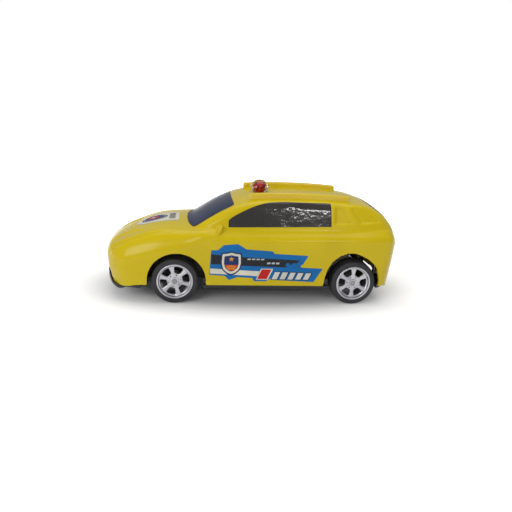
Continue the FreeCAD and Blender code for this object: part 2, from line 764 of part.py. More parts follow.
def make_rim(corner_name, x_formula, sign, phase):
    bore = "axle_radius + press_clearance"
    rim = turned("rim_" + corner_name, [
        (bore, "-tyre_width"), ("rim_hub_radius", "-tyre_width"),
        ("rim_hub_radius", "-rim_face_depth - rim_face_thickness"),
        ("rim_radius - rim_barrel", "-rim_face_depth - rim_face_thickness"),
        ("rim_radius - rim_barrel", "-tyre_width"), ("rim_radius", "-tyre_width"),
        ("rim_radius", "0 * tyre_width"), ("rim_radius - rim_barrel", "0 * tyre_width"),
        ("rim_radius - rim_barrel", "-rim_face_depth"),
        ("rim_hub_radius - 0.6", "-rim_face_depth"),
        ("rim_hub_radius - 1.1", "-rim_face_depth + 0.3"), (bore, "-rim_face_depth + 0.3")])
    near, far = "spoke_window_inner", "spoke_window_outer"
    half = "spoke_window_half_angle"
    window = closed_sketch(rim, "window_" + corner_name, "XY_Plane", [
        (near, "-%s * tan(%s * 1deg) * 0.8" % (near, half)),
        ("%s * cos(%s * 1deg)" % (far, half), "-%s * sin(%s * 1deg)" % (far, half)),
        (far, "0 * " + far),
        ("%s * cos(%s * 1deg)" % (far, half), "%s * sin(%s * 1deg)" % (far, half)),
        (near, "%s * tan(%s * 1deg) * 0.8" % (near, half))])
    pocket = rim.newObject("PartDesign::Pocket", "window_cut_" + corner_name)
    pocket.Profile = window
    bind(pocket, "Length", "rim_face_depth + rim_face_thickness + 0.5")
    solid_volume = rim.Shape.Volume
    rim.Tip = pocket
    doc.recompute()
    if rim.Shape.Volume > solid_volume - 0.1:
        pocket.Reversed = True
        doc.recompute()
    lug = rim.newObject("Sketcher::SketchObject", "lug_" + corner_name)
    origin = [item for item in rim.Origin.OriginFeatures if item.Role == "XY_Plane"][0]
    lug.AttachmentSupport = [(origin, "")]
    lug.MapMode = "FlatFace"
    lug.addGeometry(Part.Circle(Vector(v.lug_circle_radius, 0, 0), Vector(0, 0, 1), v.lug_hole_radius))
    lug.addConstraint(Sketcher.Constraint("PointOnObject", 0, 3, -1))
    across = lug.addConstraint(Sketcher.Constraint("DistanceX", -1, 1, 0, 3, v.lug_circle_radius))
    size = lug.addConstraint(Sketcher.Constraint("Radius", 0, v.lug_hole_radius))
    bind(lug, "Constraints[%d]" % across, "lug_circle_radius")
    bind(lug, "Constraints[%d]" % size, "lug_hole_radius")
    hole = rim.newObject("PartDesign::Pocket", "lug_cut_" + corner_name)
    hole.Profile = lug
    hole.Reversed = pocket.Reversed
    bind(hole, "Length", "rim_face_depth + 0.8")
    rim.Tip = hole
    ring = rim.newObject("PartDesign::PolarPattern", "spokes_" + corner_name)
    ring.Originals = [pocket, hole]
    ring.Axis = (window, ["N_Axis"])
    ring.Angle = 360.0
    bind(ring, "Occurrences", "rim_spokes")
    rim.Tip = ring
    doc.recompute()
    seat_wheel(rim, x_formula, sign, phase)


for corner_name, x_formula, sign in WHEELS:
    make_tyre(corner_name, x_formula, sign)
    turn = v.front_wheel_phase if corner_name.startswith("front") else v.rear_wheel_phase
    make_rim(corner_name, x_formula, sign, turn)


# ---------------------------------------------------------------------------------------
# Axles and washers, along Y
# ---------------------------------------------------------------------------------------

ALONG_Y = Rotation(Vector(1, 0, 0), -90)
AXLE_HALF = "(body_half_width - wheel_inset - axle_end_recess)"


def bar(node, radius, length, x, y, z, keep_it=True):
    """A cylinder along +Y from a bound place, with bound sizes."""
    thing = doc.addObject("Part::Cylinder", node)
    thing.Placement = Placement(Vector(), ALONG_Y)
    bind(thing, "Radius", radius)
    bind(thing, "Height", length)
    bind(thing, "Placement.Base.x", x)
    bind(thing, "Placement.Base.y", y)
    bind(thing, "Placement.Base.z", z)
    return keep(node, thing) if keep_it else thing


def make_washers(node, x_formula):
    """A washer inside each wheel of one axle."""
    pair = []
    for name, sign in (("left", -1), ("right", 1)):
        inner_face = "(body_half_width - wheel_inset - tyre_width)"
        low = "-%s" % inner_face if sign < 0 else "%s - washer_thickness" % inner_face
        disc = bar("%s_disc_%s" % (node, name), "washer_radius", "washer_thickness", x_formula, low,
                   "tyre_radius", keep_it=False)
        hole = bar("%s_hole_%s" % (node, name), "axle_radius + press_clearance",
                   "washer_thickness", x_formula, low, "tyre_radius", keep_it=False)
        ring = doc.addObject("Part::Cut", "%s_%s" % (node, name))
        ring.Base = disc
        ring.Tool = hole
        pair.append(ring)
    group = doc.addObject("Part::Compound", node)
    group.Links = pair
    keep(node, group)


bar("front_axle", "axle_radius", "2 * " + AXLE_HALF, FRONT_AXLE_X, "-" + AXLE_HALF, "tyre_radius")
bar("rear_axle", "axle_radius", "2 * " + AXLE_HALF, REAR_AXLE_X, "-" + AXLE_HALF, "tyre_radius")
make_washers("front_axle_washers", FRONT_AXLE_X)
make_washers("rear_axle_washers", REAR_AXLE_X)


# ---------------------------------------------------------------------------------------
# Front axle keeper and the screws
# ---------------------------------------------------------------------------------------

def make_keeper():
    """A plate over the front axle's channel, which traps the axle in the chassis."""
    low = axle_z + v.axle_radius + 0.1
    half_block = v.axle_block_length / 2
    plate = box(front_x - half_block, front_x + half_block, -v.axle_block_half_width + 0.5,
                v.axle_block_half_width - 0.5, low, low + v.keeper_thickness)
    upright = [edge for edge in plate.Edges if edge.BoundBox.ZLength > v.keeper_thickness / 2]
    plate = plate.makeFillet(1.5, upright)
    for place in keeper_screw_places():
        plate = plate.cut(rod(v.small_screw_radius + v.loose_clearance, place,
                              place + Vector(0, 0, v.roof_height)))
    feature("front_axle_keeper", plate)


def screw(radius, length, head_radius, head_height, tip, up):
    """A pan-head screw. It ends at its tip and its head is on the far side, along up."""
    way = Vector(0, 0, up)
    shank = rod(radius, tip, tip + way * length)
    head = rod(head_radius, tip + way * length, tip + way * (length + head_height))
    rim = [edge for edge in head.Edges if abs(edge.BoundBox.Center.z
           - (tip.z + up * (length + head_height))) < 1e-6 and edge.BoundBox.ZLength < 1e-6]
    head = head.makeFillet(0.4 * head_height, rim)
    point = rod(radius, tip, tip + way * radius)
    cone = Part.makeCone(0.25 * radius, radius, radius, tip, way)
    slot_wall = 0.25 * head_radius
    top = tip + way * (length + head_height)
    sinks = [box(tip.x - a, tip.x + a, tip.y - b, tip.y + b, top.z - 0.5, top.z + 0.5)
             for a, b in ((3 * slot_wall, slot_wall), (slot_wall, 3 * slot_wall))]
    body = shank.cut(point).fuse(cone).fuse(head)
    for sink in sinks:
        body = body.cut(sink)
    return body.removeSplitter()


def make_screws():
    small = (v.small_screw_radius, v.small_screw_length, v.small_head_radius, v.small_head_height)
    under = v.screw_boss_height - v.screw_floor
    shell = [screw(v.screw_radius, v.screw_length, v.screw_head_radius, v.screw_head_height,
                   place + Vector(0, 0, under + v.screw_length), -1) for place in screw_places()]
    feature("chassis_screws", Part.makeCompound(shell))
    plate_top = axle_z + v.axle_radius + 0.1 + v.keeper_thickness
    held = [screw(*small, place + Vector(0, 0, plate_top - v.small_screw_length), 1)
            for place in keeper_screw_places()]
    feature("keeper_screws", Part.makeCompound(held))
    ear_top = v.screw_boss_height + v.case_ear_thickness
    motor = [screw(*small, place + Vector(0, 0, ear_top - v.small_screw_length), 1)
             for place in ear_places()]
    feature("motor_screws", Part.makeCompound(motor))


make_keeper()
make_screws()


# ---------------------------------------------------------------------------------------
# The motor: case halves, gear train, spring
# ---------------------------------------------------------------------------------------

PRESSURE = math.radians(20)


def involute(angle):
    return math.tan(angle) - angle


def gear(teeth, centre, y0, y1, tooth_angle):
    """A spur gear along Y, with a tooth centred on an angle measured from +X towards +Z."""
    teeth = int(teeth)
    pitch = v.gear_module * teeth / 2
    base = pitch * math.cos(PRESSURE)
    tip = gear_tip(teeth)
    root = pitch - 1.25 * v.gear_module
    thick = math.pi * v.gear_module / 2 - v.gear_backlash
    start = max(base, root)
    flank = []
    for step in range(5):
        radius = start + (tip - start) * step / 4
        lean = thick / (2 * pitch) + involute(PRESSURE) - involute(math.acos(base / radius))
        flank.append((radius, lean))
    if root < base:
        flank.insert(0, (root, 0.85 * flank[0][1]))
    outline = flank + [(radius, -lean) for radius, lean in reversed(flank)]
    corners = []
    for tooth in range(teeth):
        middle = tooth_angle - 2 * math.pi * tooth / teeth
        for radius, lean in outline:
            angle = middle + lean
            corners.append(Vector(centre.x + radius * math.cos(angle), y0,
                                  centre.z + radius * math.sin(angle)))
    flat = Part.Face(Part.makePolygon(corners + corners[:1]))
    return flat.extrude(Vector(0, y1 - y0, 0))


def at(centre, y):
    return Vector(centre.x, y, centre.z)


def mesh_angles():
    """Tooth angles that put a tooth of each driver into a gap of what it drives."""
    idler, spring = gear_places()
    axle = Vector(rear_x, 0, axle_z)
    to_idler = math.atan2(idler.z - axle.z, idler.x - axle.x)
    to_spring = math.atan2(spring.z - idler.z, spring.x - idler.x)
    return {
        "axle_pinion": to_idler,
        "idler_wheel": to_idler + math.pi + math.pi / v.idler_teeth,
        "idler_pinion": to_spring,
        "spring_gear": to_spring + math.pi + math.pi / v.spring_gear_teeth,
    }


def make_gears():
    idler, spring = gear_places()
    axle = Vector(rear_x, 0, axle_z)
    angles = mesh_angles()
    inner_wall = v.case_half_width - v.case_wall
    run = 0.1
    face_low = -inner_wall + 1.1
    face_high = face_low + v.gear_face
    second_high = face_high + v.gear_face + 0.4

    pinion = gear(v.pinion_teeth, axle, face_low - 0.2, face_high + 0.2, angles["axle_pinion"])
    bore = rod(v.axle_radius + v.press_clearance, at(axle, -inner_wall), at(axle, inner_wall))
    feature("axle_pinion", pinion.cut(bore))

    wheel = gear(v.idler_teeth, idler, face_low, face_high, angles["idler_wheel"])
    small = gear(v.pinion_teeth, idler, face_high, second_high, angles["idler_pinion"])
    hub = rod(v.shaft_radius + 0.8, at(idler, run - inner_wall), at(idler, inner_wall - run))
    hole = rod(v.shaft_radius + v.running_clearance, at(idler, -inner_wall), at(idler, inner_wall))
    feature("idler_gear", wheel.fuse(small).fuse(hub).cut(hole))

    toothed_low = face_high + 0.7
    toothed_high = second_high + 0.1
    barrel_high = toothed_high + v.spring_width + 0.9
    big = gear(v.spring_gear_teeth, spring, toothed_low, toothed_high, angles["spring_gear"])
    barrel = rod(v.barrel_radius, at(spring, toothed_high), at(spring, barrel_high))
    hollow = rod(v.barrel_radius - v.barrel_wall, at(spring, toothed_high), at(spring, inner_wall))
    nave = rod(v.arbor_radius + 1.0, at(spring, run - inner_wall), at(spring, toothed_low))
    hole = rod(v.arbor_radius + v.running_clearance, at(spring, -inner_wall), at(spring, inner_wall))
    feature("spring_gear", big.fuse(barrel.cut(hollow)).fuse(nave).cut(hole))

    make_mainspring(spring, toothed_high + 0.3)
    for node, radius, centre in (("idler_shaft", v.shaft_radius, idler),
                                 ("spring_arbor", v.arbor_radius, spring)):
        feature(node, rod(radius, at(centre, -v.case_half_width), at(centre, v.case_half_width)))


def make_mainspring(centre, y0):
    """A flat steel strip coiled in the barrel, from near the arbor out to the barrel's wall."""
    first = v.arbor_radius + 0.7
    last = v.barrel_radius - v.barrel_wall - 0.15 - v.spring_thickness
    turns = v.spring_turns
    steps = int(turns * 16)
    inner, outer = [], []
    for step in range(steps + 1):
        share = step / steps
        angle = 2 * math.pi * turns * share
        radius = first + (last - first) * share
        way = Vector(math.cos(angle), 0, math.sin(angle))
        inner.append(at(centre, y0) + way * radius)
        outer.append(at(centre, y0) + way * (radius + v.spring_thickness))
    curves = []
    for points in (inner, outer):
        curve = Part.BSplineCurve()
        curve.interpolate(points)
        curves.append(curve.toShape())
    caps = [Part.LineSegment(inner[0], outer[0]).toShape(),
            Part.LineSegment(inner[-1], outer[-1]).toShape()]
    strip = Part.Face(Part.Wire(Part.__sortEdges__(curves + caps)))
    feature("mainspring", strip.extrude(Vector(0, v.spring_width, 0)))


def make_case():
    """Two cups that meet on the middle plane. Each carries an ear that is screwed down."""
    idler, spring = gear_places()
    axle = Vector(rear_x, 0, axle_z)
    wide = v.case_half_width
    for side, sign, place in zip(("left", "right"), (-1, 1), ear_places()):
        low, high = sorted((0.0, sign * wide))
        in_low, in_high = sorted((0.0, sign * (wide - v.case_wall)))
        cup = prism(case_outline(0.0), "XZ", low, high)
        cup = cup.cut(prism(case_outline(-v.case_wall), "XZ", in_low, in_high))
        ear_z = v.screw_boss_height
        half = v.case_ear / 2
        near, far = sorted((sign * (wide - 0.5), sign * (wide + half)))
        ear = box(place.x - half, place.x + half, near, far, ear_z, ear_z + v.case_ear_thickness)
        ear = ear.fuse(rod(half, place + Vector(0, 0, ear_z),
                           place + Vector(0, 0, ear_z + v.case_ear_thickness)))
        cup = cup.fuse(ear)
        cup = cup.cut(rod(v.small_screw_radius + v.loose_clearance, place, place
                          + Vector(0, 0, v.roof_height)))
        for radius, centre in ((v.axle_radius + v.running_clearance, axle),
                               (v.shaft_radius + v.press_clearance, idler),
                               (v.arbor_radius + v.press_clearance, spring)):
            cup = cup.cut(rod(radius, at(centre, -wide), at(centre, wide)))
        feature("motor_case_" + side, cup)


make_gears()
make_case()


# ---------------------------------------------------------------------------------------
# The beacon: a clear cap over a red core whose stem is pressed into the roof
# ---------------------------------------------------------------------------------------

def seat_beacon(thing):
    """Puts a beacon piece on its seat on the roof."""
    thing.Placement = Placement()
    bind(thing, "Placement.Base.x", "%s + beacon_behind_front_axle" % FRONT_AXLE_X)
    bind(thing, "Placement.Base.z", "roof_height - 1")


def make_beacon():
    lens = turned("beacon_lens", [
        ("beacon_base_radius - beacon_wall", "0 * beacon_height"),
        ("beacon_base_radius", "0 * beacon_height"),
        ("beacon_radius", "beacon_girdle"),
        ("beacon_radius - 0.5", "beacon_girdle + 1.1"),
        ("beacon_radius * 0.72", "beacon_height - 1.1"),
        ("beacon_radius * 0.36", "beacon_height - 0.2"),
        ("0 * beacon_radius", "beacon_height"),
        ("0 * beacon_radius", "beacon_height - beacon_wall - 0.3"),
        ("beacon_radius * 0.36", "beacon_height - beacon_wall - 0.6"),
        ("beacon_radius - beacon_wall - 0.5", "beacon_girdle + 0.4")])
    core = turned("beacon_core", [
        ("0 * beacon_radius", "-beacon_stem_length"),
        ("beacon_stem_radius", "-beacon_stem_length"),
        ("beacon_stem_radius", "0 * beacon_height"),
        ("beacon_base_radius - beacon_wall - 0.1", "0 * beacon_height"),
        ("beacon_radius - beacon_wall - 1.0", "beacon_girdle"),
        ("beacon_radius * 0.3", "beacon_height - beacon_wall - 1.1"),
        ("0 * beacon_radius", "beacon_height - beacon_wall - 0.9")])
    seat_beacon(lens)
    seat_beacon(core)


make_beacon()


# ---------------------------------------------------------------------------------------
# Checks and export
# ---------------------------------------------------------------------------------------

doc.recompute()
faults = [thing.Name for thing in doc.Objects if {"Invalid", "Error"} & set(thing.State)]
for node, thing in parts.items():
    shape = thing.Shape
    if shape.isNull() or not shape.isValid() or not shape.Solids:
        faults.append(node)
if faults:
    raise RuntimeError("failed objects: " + ", ".join(faults))

os.makedirs("parts", exist_ok=True)
for node, thing in parts.items():
    thing.Shape.exportStep("parts/%s.step" % node)
print(len(parts), "parts written")
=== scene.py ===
import math

import bmesh
import bpy
import numpy as np
from mathutils import Matrix, Vector
from mathutils.geometry import delaunay_2d_cdt


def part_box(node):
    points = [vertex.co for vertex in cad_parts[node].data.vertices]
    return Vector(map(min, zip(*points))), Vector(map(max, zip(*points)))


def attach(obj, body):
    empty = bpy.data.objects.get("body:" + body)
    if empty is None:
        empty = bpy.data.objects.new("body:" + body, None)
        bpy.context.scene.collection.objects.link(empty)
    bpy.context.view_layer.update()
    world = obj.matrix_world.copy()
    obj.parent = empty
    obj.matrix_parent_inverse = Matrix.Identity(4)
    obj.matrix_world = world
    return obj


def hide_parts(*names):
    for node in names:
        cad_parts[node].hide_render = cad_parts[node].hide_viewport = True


# The looks of a pull-back toy car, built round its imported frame.
# Mesh code works in millimetres and in the frame's own axes: +X to the tail, -Y the left side.

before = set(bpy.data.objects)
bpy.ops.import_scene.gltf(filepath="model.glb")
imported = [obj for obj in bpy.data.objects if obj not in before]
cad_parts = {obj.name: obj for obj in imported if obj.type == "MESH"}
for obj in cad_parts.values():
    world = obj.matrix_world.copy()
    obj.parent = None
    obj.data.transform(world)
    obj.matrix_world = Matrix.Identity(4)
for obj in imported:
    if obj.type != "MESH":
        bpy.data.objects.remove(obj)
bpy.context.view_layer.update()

MM = 0.001


def box_mm(node):
    """A CAD node's lowest and highest corner, in millimetres."""
    low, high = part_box(node)
    return np.array(low) / MM, np.array(high) / MM


shell_low, shell_high = box_mm("body_shell")
tyre_low, tyre_high = box_mm("tyre_front_left")
rear_low, rear_high = box_mm("tyre_rear_left")
NOSE, TAIL = shell_low[0], shell_high[0]
HALF = shell_high[1]
FRONT_X = (tyre_low[0] + tyre_high[0]) / 2
REAR_X = (rear_low[0] + rear_high[0]) / 2
TYRE_RADIUS = (tyre_high[2] - tyre_low[2]) / 2
AXLE_Z = TYRE_RADIUS
WALL = 1.5


# ---------------------------------------------------------------------------------------
# Smooth lines and fields
# ---------------------------------------------------------------------------------------

LINE_STEP = 0.25


class Line:
    """A smooth function through a few points, softened over a given distance."""

    def __init__(self, points, soft=2.0):
        xs, ys = np.array(points, float).T
        run = np.diff(xs)
        rise = np.diff(ys) / run
        slopes = np.zeros(len(xs))
        same = rise[1:] * rise[:-1] > 0
        slopes[1:-1][same] = 2 / (1 / rise[1:][same] + 1 / rise[:-1][same])
        slopes[0], slopes[-1] = rise[0], rise[-1]
        margin = 4 * soft + 1
        at = np.arange(xs[0] - margin, xs[-1] + margin, LINE_STEP)
        piece = np.clip(np.searchsorted(xs, at) - 1, 0, len(xs) - 2)
        part = np.clip((at - xs[piece]) / run[piece], 0, 1)
        low, high = ys[piece], ys[piece + 1]
        value = (low * (1 + 2 * part) * (1 - part) ** 2 + high * part ** 2 * (3 - 2 * part)
                 + run[piece] * part * (1 - part)
                 * (slopes[piece] * (1 - part) - slopes[piece + 1] * part))
        value += slopes[0] * np.minimum(at - xs[0], 0) + slopes[-1] * np.maximum(at - xs[-1], 0)
        if soft > 0:
            reach = np.arange(-3 * soft, 3 * soft + LINE_STEP, LINE_STEP)
            weight = np.exp(-0.5 * (reach / soft) ** 2)
            padded = np.pad(value, len(reach) // 2, mode="reflect", reflect_type="odd")
            value = np.convolve(padded, weight / weight.sum(), mode="valid")[:len(at)]
        self.at, self.value = at, value
        self.slope_value = np.gradient(value, at)

    def __call__(self, x):
        return np.interp(x, self.at, self.value)

    def slope(self, x):
        return np.interp(x, self.at, self.slope_value)


def ease(edge0, edge1, x):
    """0 before edge0, 1 after edge1, smooth between."""
    share = np.clip((x - edge0) / (edge1 - edge0), 0, 1)
    return share * share * (3 - 2 * share)


def meet(a, b, radius):
    """Both fields at once, with a rounded edge of that radius between them."""
    u, w = np.maximum(radius + a, 0), np.maximum(radius + b, 0)
    return np.minimum(-radius, np.maximum(a, b)) + np.sqrt(u * u + w * w)


def join(a, b, radius):
    """Either field, with a hollow fillet of that radius between them."""
    return -meet(-a, -b, radius)


def grown(points, distance):
    """An anticlockwise outline moved outwards by a distance."""
    result = []
    for index, (a, b) in enumerate(points):
        a0, b0 = points[index - 1]
        a2, b2 = points[(index + 1) % len(points)]
        come = np.array([a - a0, b - b0]) / math.hypot(a - a0, b - b0)
        go = np.array([a2 - a, b2 - b]) / math.hypot(a2 - a, b2 - b)
        out = np.array([come[1] + go[1], -come[0] - go[0]]) / (1 + come @ go)
        result.append((a + out[0] * distance, b + out[1] * distance))
    return result


def outline_field(points, x, z, radius=0.0):
    """Signed distance to an anticlockwise outline whose corners have one radius."""
    if radius:
        return outline_field(grown(points, -radius), x, z) - radius
    x, z = np.broadcast_arrays(np.asarray(x, float), np.asarray(z, float))
    nearest = np.full(x.shape, np.inf)
    inside = np.zeros(x.shape, bool)
    for index, (a1, b1) in enumerate(points):
        a0, b0 = points[index - 1]
        ea, eb = a1 - a0, b1 - b0
        share = np.clip(((x - a0) * ea + (z - b0) * eb) / (ea * ea + eb * eb), 0, 1)
        nearest = np.minimum(nearest, (x - a0 - ea * share) ** 2 + (z - b0 - eb * share) ** 2)
        if b0 != b1:
            crosses = ((b0 > z) != (b1 > z)) & (x < ea * (z - b0) / (b1 - b0) + a0)
            inside ^= crosses
    return np.where(inside, -1, 1) * np.sqrt(nearest)


# ---------------------------------------------------------------------------------------
# The shell's surface
# ---------------------------------------------------------------------------------------

# Height of the lower body's top along the middle: hood, then the belt under the windows.
HOOD = Line([(-80.5, 23.6), (-77.2, 26.2), (-74.5, 28.5), (-71.8, 30.2), (-67.5, 32.6), (-61, 35.3),
             (-54.6, 37.8), (-48.2, 39.3), (-41.7, 39.9), (-35.2, 40.1), (-30, 40.2), (-14, 40.3),
             (38, 41.3), (66, 41.8), (72, 41.2), (75, 39.8), (78, 37.2)], soft=1.5)
# Height of the cabin's top along the middle: windscreen, roof, tailgate glass.
CABIN = Line([(-46, 31.8), (-32.3, 40.6), (-28.7, 42.9), (-24.4, 45.7), (-20.1, 48.2), (-15.8, 50.4),
              (-11.5, 52.2), (-7.2, 53.5), (0, 54.5), (10, 55.1), (22, 55.4), (34, 55.2), (44, 54.8),
              (52, 54.1), (58, 53.1), (63, 51.5), (67, 49.4), (70, 47.0), (72.5, 44.4), (74.8, 41.4),
              (78, 36.5)], soft=1.6)
# How far the tops fall, and the ends stand back, from the middle to FALL_REACH out.
FALL_REACH = 20.0
NOSE_BOW, TAIL_BOW = 2.0, 1.2
HOOD_FALL = Line([(-80, 1.2), (-60, 1.2), (-36, 1.2), (-20, 0.2), (80, 0.2)], soft=3)
CABIN_FALL = Line([(-46, 1.7), (-15, 1.5), (2, 0.9), (55, 0.9), (66, 1.3), (80, 1.5)], soft=3)
# Half widths seen from above.
BODY_PLAN = Line([(-80, HALF - 7.5), (-75, HALF - 5.2), (-68, HALF - 2.9), (-58, HALF - 1.1),
                  (-46, HALF - 0.25), (-36, HALF - 0.12), (0, HALF - 0.12), (55, HALF - 0.12),
                  (64, HALF - 0.5), (72, HALF - 2.0), (79, HALF - 4.5)], soft=3)
CABIN_PLAN = Line([(-46, 21.0), (-34, 23.6), (-25, 25.4), (-14, 26.7), (8, 27.1), (42, 27.1),
                   (58, 26.5), (68, 25.0), (78, 22.0)], soft=3)
CABIN_LEAN = 0.265
CABIN_FLOOR = 34.0
BELT_FILLET = 0.5
# How far the nose and the tail stand back from their foremost and rearmost lines.
NOSE_BACK = Line([(4, 5.0), (8, 3.2), (11, 2.1), (13.8, 1.5), (16, 0.9), (20, 0.35), (24, 0.05),
                  (27, 0.0), (40, 0.0)], soft=0.7)
TAIL_BACK = Line([(5, 2.9), (12, 2.1), (18, 1.4), (24, 0.7), (30, 0.15), (34, 0.0), (38, 0.3),
                  (42, 1.6), (46, 4.0)], soft=1.2)
# How steeply the wings fall away outside the hood's crease, and where that crease runs.
WING_FALL = Line([(-80, 0.35), (-60, 0.38), (-46, 0.36), (-24, 0.0), (80, 0.0)], soft=3)
CREASE = Line([(-80, 16.0), (-76, 17.6), (-70, 20.8), (-62, 23.2), (-53, 24.0), (-46, 24.6),
               (-34, 26.5), (80, 40.0)], soft=2)
CREASE_DEPTH = Line([(-80, 0.9), (-56, 0.85), (-46, 0.6), (-34, 0.0), (80, 0.0)], soft=2)
CREASE_WIDTH = 0.75
# How far the sides draw in towards the sills, by height.
SIDE_TUCK = Line([(0, 0.9), (10, 0.5), (18, 0.15), (24, 0.0), (60, 0.0)], soft=1.5)
# Height of the shell's lower edge.
SHELL_FOOT = Line([(-80, 15.5), (-77.4, 13.4), (-76.2, 11.4), (-73.8, 9.4), (-70, 8.3), (-66, 8.8),
                   (-59.5, 10.2), (-41, 10.9), (0, 11.0), (66, 11.0), (80, 11.6)], soft=0.4)
# Radius between the sides and the top of the body.
BODY_EDGE = Line([(-80, 5.0), (-66, 6.0), (-50, 6.5), (-38, 6.5), (-20, 2.2), (66, 2.2), (80, 5.0)],
                 soft=3)
# The slanting ledge under the windows: how far it cuts the corner between side and top.
LEDGE = Line([(-80, 0.0), (-40, 0.0), (-18, 5.2), (68, 5.2), (80, 3.0)], soft=3)
# Radius between the sides and the roof of the cabin.
CABIN_EDGE = Line([(-40, 3.0), (0, 2.6), (48, 2.6), (60, 4.5), (80, 6.0)], soft=3)

RAIL_OFFSET, RAIL_HALF_WIDTH = 17.2, 1.6
RAIL_FRONT = FRONT_X + 37.1
RAIL_LENGTH = 53.8
RAIL_END_HEIGHT, RAIL_CROWN = 56.55, 1.05
RAIL_ROOT = 50.0
# The mirrors: eggs beside the windscreen's foot, their half sizes, and how they rake back.
MIRROR_PLACE, MIRROR_SIZE, MIRROR_RAKE = (-18.83, 27.6, 39.2), (1.4, 2.3, 2.6), 0.35

FRONT_ARCH = (FRONT_X + 0.9, AXLE_Z + 0.7, 14.9)
REAR_ARCH = [(REAR_X + a, b) for a, b in (
    (-16.8, -5.0), (13.6, -5.0), (13.6, 13.9), (12.7, 17.6), (11.7, 20.7), (9.9, 23.2), (6.4, 26.0),
    (2.8, 27.9), (-0.6, 29.1), (-3.0, 29.4), (-5.4, 29.1), (-9.3, 27.6), (-13.0, 24.3),
    (-15.3, 20.1), (-16.3, 16.1), (-16.8, 12.0))]
REAR_ARCH_CORNER = 0.4

QUARTER_FRONT = [(40.6, 43.4), (50.4, 43.6), (48.2, 47.2), (46.6, 50.0), (44.3, 52.0), (40.6, 52.4)]
QUARTER_REAR = [(54.2, 43.9), (66.2, 44.4), (60.8, 50.0), (56.0, 51.2), (48.4, 52.0), (50.8, 48.0)]
QUARTER_DEPTH = 1.0
# The nose's openings and the tail's plate recess: half width, lowest and highest edge.
GRILLE, GRILLE_BAR_PITCH = (12.5, 19.0, 25.0), 2.0
INTAKE = (15.5, 13.6, 17.2)
PLATE = (9.5, 22.4, 29.6)
# A tail lamp's distance from the middle and height, with its half sizes.
LAMP_PLACE, LAMP_HALF = (20.5, 34.8), (4.2, 2.6)
BUMPER_HEIGHT, BUMPER_WIDTH = 19.5, 0.45
# The headlamps' outline, seen from above: place along x and distance from the middle.
HEADLIGHT_DEPTH = 0.55
HEADLIGHT = [(-75.2, 9.0), (-62.5, 11.0), (-55.0, 18.6), (-63.0, 18.0), (-73.6, 16.4)]


def fallen(depth, out):
    """How far a crowned surface has dropped at a distance from the middle."""
    return depth * (out / FALL_REACH) ** 2


def fallen_slope(depth, out):
    return 2 * depth * out / FALL_REACH ** 2


def opening(out, z, sizes):
    """A rounded rectangle on the nose or tail, from half width, lowest and highest edge."""
    half, low, high = sizes
    return meet(meet(out - half, z - high, 0.6), low - z, 0.6)


def lower_body(x, y, z):
    """The car up to its belt line: hood, wings, sides, nose and tail."""
    out = np.abs(y)
    beyond = out - CREASE(x)
    past = np.sqrt(beyond ** 2 + 0.5)
    crease = CREASE_DEPTH(x) * np.exp(-(beyond / CREASE_WIDTH) ** 2)
    fall = fallen(HOOD_FALL(x), out) + WING_FALL(x) * (beyond + past) / 2 + crease
    fall = fall + HEADLIGHT_DEPTH * ease(0.5, -0.9, outline_field(HEADLIGHT, x, out, 1.2))
    lean = (fallen_slope(HOOD_FALL(x), out) + WING_FALL(x) * (1 + beyond / past) / 2
            - crease * 2 * beyond / CREASE_WIDTH ** 2)
    top = (z - HOOD(x) + fall) / np.sqrt(1 + HOOD.slope(x) ** 2 + lean ** 2)
    width = BODY_PLAN(x) - SIDE_TUCK(z)
    side = (out - width) / np.sqrt(1 + BODY_PLAN.slope(x) ** 2)
    bars = 0.5 + 0.5 * np.cos((z - (GRILLE[1] + GRILLE[2]) / 2) * 2 * math.pi / GRILLE_BAR_PITCH)
    relief = (0.9 * ease(0.35, -0.35, opening(out, z, GRILLE)) * (1 - 0.75 * bars)
              + 0.8 * ease(0.4, -0.4, opening(out, z, INTAKE)))
    nose_x = NOSE + NOSE_BACK(z) + fallen(NOSE_BOW, out) + relief
    nose = (nose_x - x) / np.sqrt(1 + NOSE_BACK.slope(z) ** 2 + fallen_slope(NOSE_BOW, out) ** 2)
    lamp = meet(np.abs(out - LAMP_PLACE[0]) - LAMP_HALF[0], np.abs(z - LAMP_PLACE[1]) - LAMP_HALF[1], 1.0)
    bumper = np.exp(-((z - BUMPER_HEIGHT) / BUMPER_WIDTH) ** 2)
    rear_relief = (0.55 * ease(0.35, -0.35, opening(out, z, PLATE)) - 0.3 * ease(0.8, -0.8, lamp)
                   + 0.4 * bumper)
    tail_x = TAIL - 0.4 - TAIL_BACK(z) - fallen(TAIL_BOW, out) - rear_relief
    tail = (x - tail_x) / np.sqrt(1 + TAIL_BACK.slope(z) ** 2 + fallen_slope(TAIL_BOW, out) ** 2)
    body = meet(top, side, BODY_EDGE(x))
    ledge = (out - width + z - HOOD(x) + LEDGE(x)) / math.sqrt(2)
    body = meet(body, ledge, 1.3)
    body = meet(body, tail, 5.5)
    return meet(body, nose, 2.2 + 6.0 * ease(12, 24, out))


